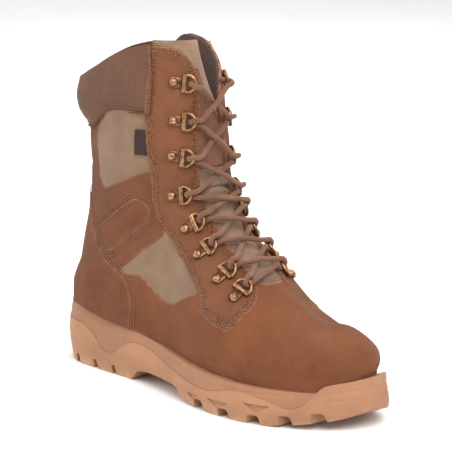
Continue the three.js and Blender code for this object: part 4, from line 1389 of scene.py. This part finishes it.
# ---- D rings ------------------------------------------------------------------------------------
# Each D ring is bent brass wire. It swings on a flat bar that is wrapped by a dark plate, and the
# plate is held to the eyestay by one domed rivet.
SEAT = 0.7
PLATE = dict(length=11.8, width=7.5, thick=1.2)
RIVET = dict(radius=3.3, height=2.4)
BAR = dict(radius=1.9, length=13.5, width=3.6, thick=3.4)
LOOP = dict(wire=1.1, reach=8.5, half=6.4, tilt=19)
EYELETS = [
    dict(lateral=(130, -20.5, 232), medial=(127.5, 25, 230.5), heading=(0.64, 0.76, -0.1)),
    dict(lateral=(133, -23, 204), medial=(131, 23, 202.5), heading=(0.68, 0.73, -0.05)),
    dict(lateral=(135, -26, 177.5), medial=(135.5, 22.5, 174), heading=(0.75, 0.65, -0.1)),
    dict(lateral=(137, -28.5, 149.5), medial=(140, 22, 149.5), heading=(0.9, 0.4, 0.15)),
    dict(lateral=(150, -27.5, 130.5), medial=(150, 21.5, 135), heading=(0.66, 0.55, 0.5)),
    dict(lateral=(166, -30, 115.5), medial=(163, 20.5, 120.5), heading=(0.48, 0.68, 0.56)),
    dict(lateral=(188.5, -31.5, 101.5), medial=(180.5, 21, 106.5), heading=(0.25, 0.8, 0.55)),
    dict(lateral=(205, -31, 91.5), medial=(197.5, 21.5, 96), heading=(0.05, 0.84, 0.53)),
]


def eyelet_frame(eyelet, side):
    """An eyelet's place on the leather, and its directions: to the throat, along the bar, out."""
    place = settle([eyelet["lateral" if side < 0 else "medial"]])
    out = outward(place)[0]
    forwards, inwards, upwards = eyelet["heading"]
    towards = np.array([forwards, -side * inwards, upwards])
    towards -= out * (towards @ out)
    towards /= np.linalg.norm(towards)
    along_bar = np.cross(out, towards)
    return place[0] + out * SEAT, np.stack([towards, along_bar, out], 1)


def antique_brass(name, light, dark):
    """Plated brass, clouded from browned to bright in small random patches."""
    def paint(tree, where):
        cloud = noise(tree, where, 420, 4, 0.6)
        colour = spread(tree, cloud, 0.36, 0.62, dark, light)
        roughness = ramp(tree, noise(tree, where, 900, 3), (0.3, 0.24), (0.7, 0.46))
        return colour, roughness, cloud, 0.05
    return material(name, paint, Metallic=1.0)


BRASS = antique_brass("antique brass", shade(177, 139, 101), shade(120, 83, 57))
DARK_BRASS = antique_brass("dark brass", shade(129, 93, 68), shade(83, 55, 40))


def select_where(piece, kind, wanted):
    bm = bmesh.from_edit_mesh(piece.data)
    for item in list(bm.faces) + list(bm.edges) + list(bm.verts):
        item.select_set(False)
    for item in getattr(bm, kind):
        if wanted(item):
            item.select_set(True)
    bmesh.update_edit_mesh(piece.data)


def start_shape(add, scale=(1, 1, 1), **settings):
    """A primitive at its size and place, in edit mode and selected all over."""
    bpy.ops.object.select_all(action="DESELECT")
    add(**settings)
    made = bpy.context.active_object
    made.scale = scale
    bpy.ops.object.transform_apply(location=True, rotation=True, scale=True)
    bpy.ops.object.mode_set(mode="EDIT")
    bpy.ops.mesh.select_all(action="SELECT")
    return made


MM = 0.001
plate = start_shape(
    bpy.ops.mesh.primitive_cube_add, size=1,
    location=(-PLATE["length"] / 2 * MM, 0, PLATE["thick"] / 2 * MM),
    scale=(PLATE["length"] * MM, PLATE["width"] * MM, PLATE["thick"] * MM))
select_where(plate, "edges", lambda e: all(v.co.x < -5 * MM for v in e.verts)
             and abs(e.verts[0].co.z - e.verts[1].co.z) > 0.5 * MM)
bpy.ops.mesh.bevel(offset=PLATE["width"] * 0.46 * MM, segments=8)
select_where(plate, "faces", lambda f: f.normal.z > 0.9)
bpy.ops.mesh.inset(thickness=0.55 * MM, depth=0.28 * MM)
bpy.ops.object.mode_set(mode="OBJECT")

rivet = start_shape(
    bpy.ops.mesh.primitive_uv_sphere_add, segments=28, ring_count=14,
    radius=RIVET["radius"] * MM, scale=(1, 1, RIVET["height"] / RIVET["radius"]),
    location=((PLATE["width"] / 2 - PLATE["length"]) * MM, 0, PLATE["thick"] * MM))
bpy.ops.mesh.bisect(plane_co=(0, 0, (PLATE["thick"] - 0.2) * MM), plane_no=(0, 0, 1),
                    clear_inner=True, use_fill=True)
crown = (PLATE["thick"] + RIVET["height"] * 0.86) * MM
select_where(rivet, "faces", lambda f: f.calc_center_median().z > crown)
bpy.ops.mesh.inset(thickness=0.35 * MM, depth=-0.3 * MM)
bpy.ops.object.mode_set(mode="OBJECT")

bar = start_shape(
    bpy.ops.mesh.primitive_cube_add, size=1, location=(-0.2 * MM, 0, BAR["radius"] * MM),
    scale=(BAR["width"] * MM, BAR["length"] * MM, BAR["thick"] * MM))
select_where(bar, "edges", lambda e: abs(e.verts[0].co.y - e.verts[1].co.y) > 5 * MM)
bpy.ops.mesh.bevel(offset=1.1 * MM, segments=4)
select_where(bar, "faces", lambda f: abs(f.normal.y) > 0.9)
bpy.ops.mesh.inset(thickness=0.5 * MM, depth=0.25 * MM)
bpy.ops.object.mode_set(mode="OBJECT")

loop = start_shape(
    bpy.ops.mesh.primitive_torus_add, major_radius=LOOP["half"] * MM,
    minor_radius=LOOP["wire"] * MM, major_segments=48, minor_segments=14)
bpy.ops.mesh.bisect(plane_co=(0, 0, 0), plane_no=(1, 0, 0), clear_inner=True, use_fill=True)
select_where(loop, "verts", lambda v: v.co.x > 0.05 * MM)
bpy.ops.transform.translate(value=((LOOP["reach"] - LOOP["half"]) * MM, 0, 0))
bpy.ops.object.mode_set(mode="OBJECT")
swing = Matrix.Rotation(-math.radians(LOOP["tilt"]), 4, "Y")
loop.data.transform(Matrix.Translation((0, 0, BAR["radius"] * MM)) @ swing)

for piece, brass in ((plate, DARK_BRASS), (rivet, BRASS), (bar, BRASS), (loop, BRASS)):
    piece.data.materials.append(brass)
select_only(rivet, bar, loop, plate)
bpy.ops.object.join()
bpy.ops.object.shade_smooth_by_angle(angle=math.radians(38))
pattern = bpy.context.active_object
eyelet_frames = {}
for i, eyelet in enumerate(EYELETS):
    for word, side in (("lateral", -1), ("medial", 1)):
        seat, axes = eyelet_frame(eyelet, side)
        eyelet_frames[(i, side)] = (seat, axes)
        ring = bpy.data.objects.new(f"d_ring_{word}_{i + 1}", pattern.data.copy())
        bpy.context.scene.collection.objects.link(ring)
        placed = Matrix(axes.tolist()).to_4x4()
        placed.translation = (seat + HEEL) / 1000
        ring.data.transform(placed)
        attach(ring, "root")
        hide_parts(f"ring_{word}_{i + 1}")
bpy.data.objects.remove(pattern)


# ---- Lace ---------------------------------------------------------------------------------------
# One round braided cord runs from ring to ring, crossing over the tongue, with a straight bar at
# the bottom. Its two ends stop behind the top rings. It is pulled tight, so it hangs nowhere.
LACE = dict(radius=1.9, lift=0.9, least=1.0, crossing=2.0, sides=18, step=1.1)
# Where the cord passes at a ring: share towards the throat, up or down along the bar, and out.
UP_STRAND = [(13.0, 2.2, 5.2), (9.2, 1.7, 7.7), (6.3, 0.9, 7.0)]
IN_RING = (4.7, 0.0, 4.3)
DOWN_STRAND = [(6.0, -0.9, 2.1), (8.9, -1.6, 1.6), (13.0, -2.2, 2.4)]
TOP_STRAND = [(6.3, -0.9, 7.0), (9.2, -1.7, 7.7), (13.0, -2.2, 4.8)]  # at the top pair of rings
HIDDEN_TAIL = [(6.2, 1.2, 1.0), (9.0, 2.4, -1.2)]


def at_ring(i, side, local):
    seat, axes = eyelet_frames[(i, side)]
    upwards = math.copysign(1, axes[2, 1])
    return [seat + axes @ np.array([x, y * upwards, z]) for x, y, z in local]


def clear_of_tongue(p, rise):
    """Lifts a point of a taut strand, so that it lies on the tongue or on the other strand."""
    on = settle([p])
    n = outward(on)[0]
    least = LACE["radius"] + LACE["lift"] + rise if rise >= 0 else LACE["least"]
    return on[0] + n * max((p - on[0]) @ n + rise, least)


def strand_between(start, end, rise):
    shares = [(0.25, 0.25 * rise), (0.5, rise), (0.75, 0.25 * rise)]
    return [clear_of_tongue(start + (end - start) * share, more) for share, more in shares]


def crossing_rise(i, side):
    """How a strand passes the other one below row i: the lateral one goes over, but for row 0."""
    return LACE["crossing"] if (side < 0) == (i > 0) else -LACE["crossing"]


last_ring = len(EYELETS) - 1
descent = [(i, -1 if i % 2 == 0 else 1) for i in range(last_ring + 1)]
ascent = [(i, -side) for i, side in descent[::-1]]
route = at_ring(*descent[0], HIDDEN_TAIL[::-1])
for i, side in descent:
    route += at_ring(i, side, UP_STRAND * (i > 0) + [IN_RING] + (DOWN_STRAND if i else TOP_STRAND))
    if i < last_ring:
        end = at_ring(i + 1, -side, UP_STRAND)[0]
        route += strand_between(route[-1], end, crossing_rise(i, side))
route += strand_between(route[-1], at_ring(*ascent[0], DOWN_STRAND)[-1], 0)
for i, side in ascent:
    route += at_ring(i, side, (DOWN_STRAND if i else TOP_STRAND)[::-1] + [IN_RING])
    if i > 0:
        route += at_ring(i, side, UP_STRAND[::-1])
        end = at_ring(i - 1, -side, DOWN_STRAND if i > 1 else TOP_STRAND)[-1]
        route += strand_between(route[-1], end, crossing_rise(i - 1, -side))
route += at_ring(*ascent[-1], HIDDEN_TAIL)


def cord_tube(path, radius, sides):
    """Rings of points round a path, without twist, drawn in at its two ends."""
    tangent = np.gradient(path, axis=0)
    tangent /= np.linalg.norm(tangent, axis=1, keepdims=True)
    side = np.cross(tangent[0], [0, 0, 1.0])
    rings = []
    for p, t in zip(path, tangent):
        side = side - t * (side @ t)
        side /= np.linalg.norm(side)
        other = np.cross(t, side)
        angles = [2 * math.pi * k / sides for k in range(sides)]
        rings.append([p + radius * (side * math.cos(a) + other * math.sin(a)) for a in angles])
    for end in (0, -1):
        rings[end] = [path[end] + (q - path[end]) * 0.6 for q in rings[end]]
    return rings


BRAID = dict(strands=4, pitch=3.4)


def braid(tree, where):
    uv = add_node(tree, "UVMap", uv_map="braid").outputs["UV"]
    parts = coordinates(tree, uv)
    turn = product(tree, parts["Y"], 2 * math.pi * BRAID["strands"])
    run = product(tree, parts["X"], 2 * math.pi / BRAID["pitch"])
    one = maths(tree, "SINE", total(tree, run, turn))
    other = maths(tree, "SINE", maths(tree, "SUBTRACT", run, turn))
    plait = crossed(tree, one, other)
    lint = noise(tree, where, 1900, 2)
    clouds = noise(tree, where, 60, 3)
    colour = spread(tree, clouds, 0.3, 0.7, shade(117, 76, 55), shade(141, 95, 70))
    # Painted shade: the colour darkens strongly in the grooves between the plaited strands.
    colour = dulled(tree, 0.75, colour, plait, (0.1, 0.5), (0.6, 1.0))
    colour = dulled(tree, 0.4, colour, lint, (0.3, 0.75), (0.7, 1.0))
    height = total(tree, plait, product(tree, lint, 0.25))
    return colour, ramp(tree, lint, (0.3, 0.7), (0.7, 0.9)), height, 0.4


lace_path = spline(route, LACE["step"])
lace_rings = cord_tube(lace_path, LACE["radius"], LACE["sides"])
lace_points, lace_faces = closed_loft(lace_rings)
lace = facing_out(mesh_piece(
    "lace", lace_points, lace_faces,
    material("braided cord", braid, Sheen_Weight=0.2, Specular_IOR_Level=0.25),
    "lace_cord", sharp=70,
    replaces=[f"lace_crossing_{i + 1}" for i in range(last_ring)] + ["lace_bar"]))
braid_map = lace.data.uv_layers.new(name="braid")
ring_number, place_round = np.divmod(corner_points(lace), LACE["sides"])
flat = np.stack([ring_number * LACE["step"], place_round / LACE["sides"]], 1)
for face in lace.data.polygons:
    corners = list(face.loop_indices)
    if flat[corners, 1].max() - flat[corners, 1].min() > 0.5:
        for corner in corners:
            flat[corner, 1] += flat[corner, 1] < 0.5
braid_map.data.foreach_set("uv", flat.ravel())


# ---- Floor, light and camera --------------------------------------------------------------------
# A pale floor, a white surround and three large soft lights, with the camera low in front of the
# lateral side, far off with a long lens.
def floor_paint(tree, where):
    mottled = noise(tree, where, 6, 2)
    tone = ramp(tree, mottled, (0.3, 0.92), (0.7, 0.94))
    return tone, ramp(tree, mottled, (0.3, 0.7), (0.7, 0.8)), mottled, 0.02


bpy.ops.mesh.primitive_plane_add(size=6, location=(0, 0, 0))
floor = bpy.context.active_object
floor.name = "floor"
floor.data.materials.append(material("floor card", floor_paint, Specular_IOR_Level=0.1))

world = bpy.data.worlds.new("surround")
bpy.context.scene.world = world
world.use_nodes = True
world.node_tree.nodes["Background"].inputs["Color"].default_value = (1, 1, 1, 1)
world.node_tree.nodes["Background"].inputs["Strength"].default_value = 0.75
bpy.context.scene.view_settings.view_transform = "Standard"

LIGHTS = [
    dict(name="key", place=(0.9, -0.5, 1.3), size=1.2, watts=22),
    dict(name="fill", place=(-0.9, -1.3, 0.9), size=1.4, watts=12),
    dict(name="rear", place=(-0.4, 1.2, 1.2), size=1.2, watts=14),
]
for light in LIGHTS:
    lamp = bpy.data.lights.new(light["name"], "AREA")
    lamp.size, lamp.energy = light["size"], light["watts"]
    placed = bpy.data.objects.new(light["name"], lamp)
    placed.location = light["place"]
    aim = Vector((0, 0, 0.1)) - Vector(light["place"])
    placed.rotation_euler = aim.to_track_quat("-Z", "Y").to_euler()
    bpy.context.scene.collection.objects.link(placed)

VIEW = dict(
    azimuth=44.95, height=12.6, roll=1.0, distance=2186.5, lens=228.66,
    seen=(150, 55.39, 118.8), left=35.8, down=3.0,
)
azimuth, height = math.radians(VIEW["azimuth"]), math.radians(VIEW["height"])
level = math.cos(height)
back = Vector((math.sin(azimuth) * level, -math.cos(azimuth) * level, math.sin(height)))
right = (-back).cross(Vector((0, 0, 1))).normalized()
above = right.cross(-back)
seen = Vector(VIEW["seen"]) + Vector(HEEL)
stand = seen + back * VIEW["distance"]
aim = seen - right * VIEW["left"] - above * VIEW["down"]
forward = (aim - stand).normalized()
right = forward.cross(Vector((0, 0, 1))).normalized()
above = right.cross(forward)
roll = math.radians(VIEW["roll"])
turned = right * math.cos(roll) + above * math.sin(roll)
upright = above * math.cos(roll) - right * math.sin(roll)
lens = bpy.data.cameras.new("camera")
lens.lens, lens.sensor_width = VIEW["lens"], 36
lens.clip_end = 20
camera = bpy.data.objects.new("camera", lens)
camera.matrix_world = Matrix((turned, upright, -forward)).transposed().to_4x4()
camera.location = stand / 1000
bpy.context.scene.collection.objects.link(camera)
bpy.context.scene.camera = camera
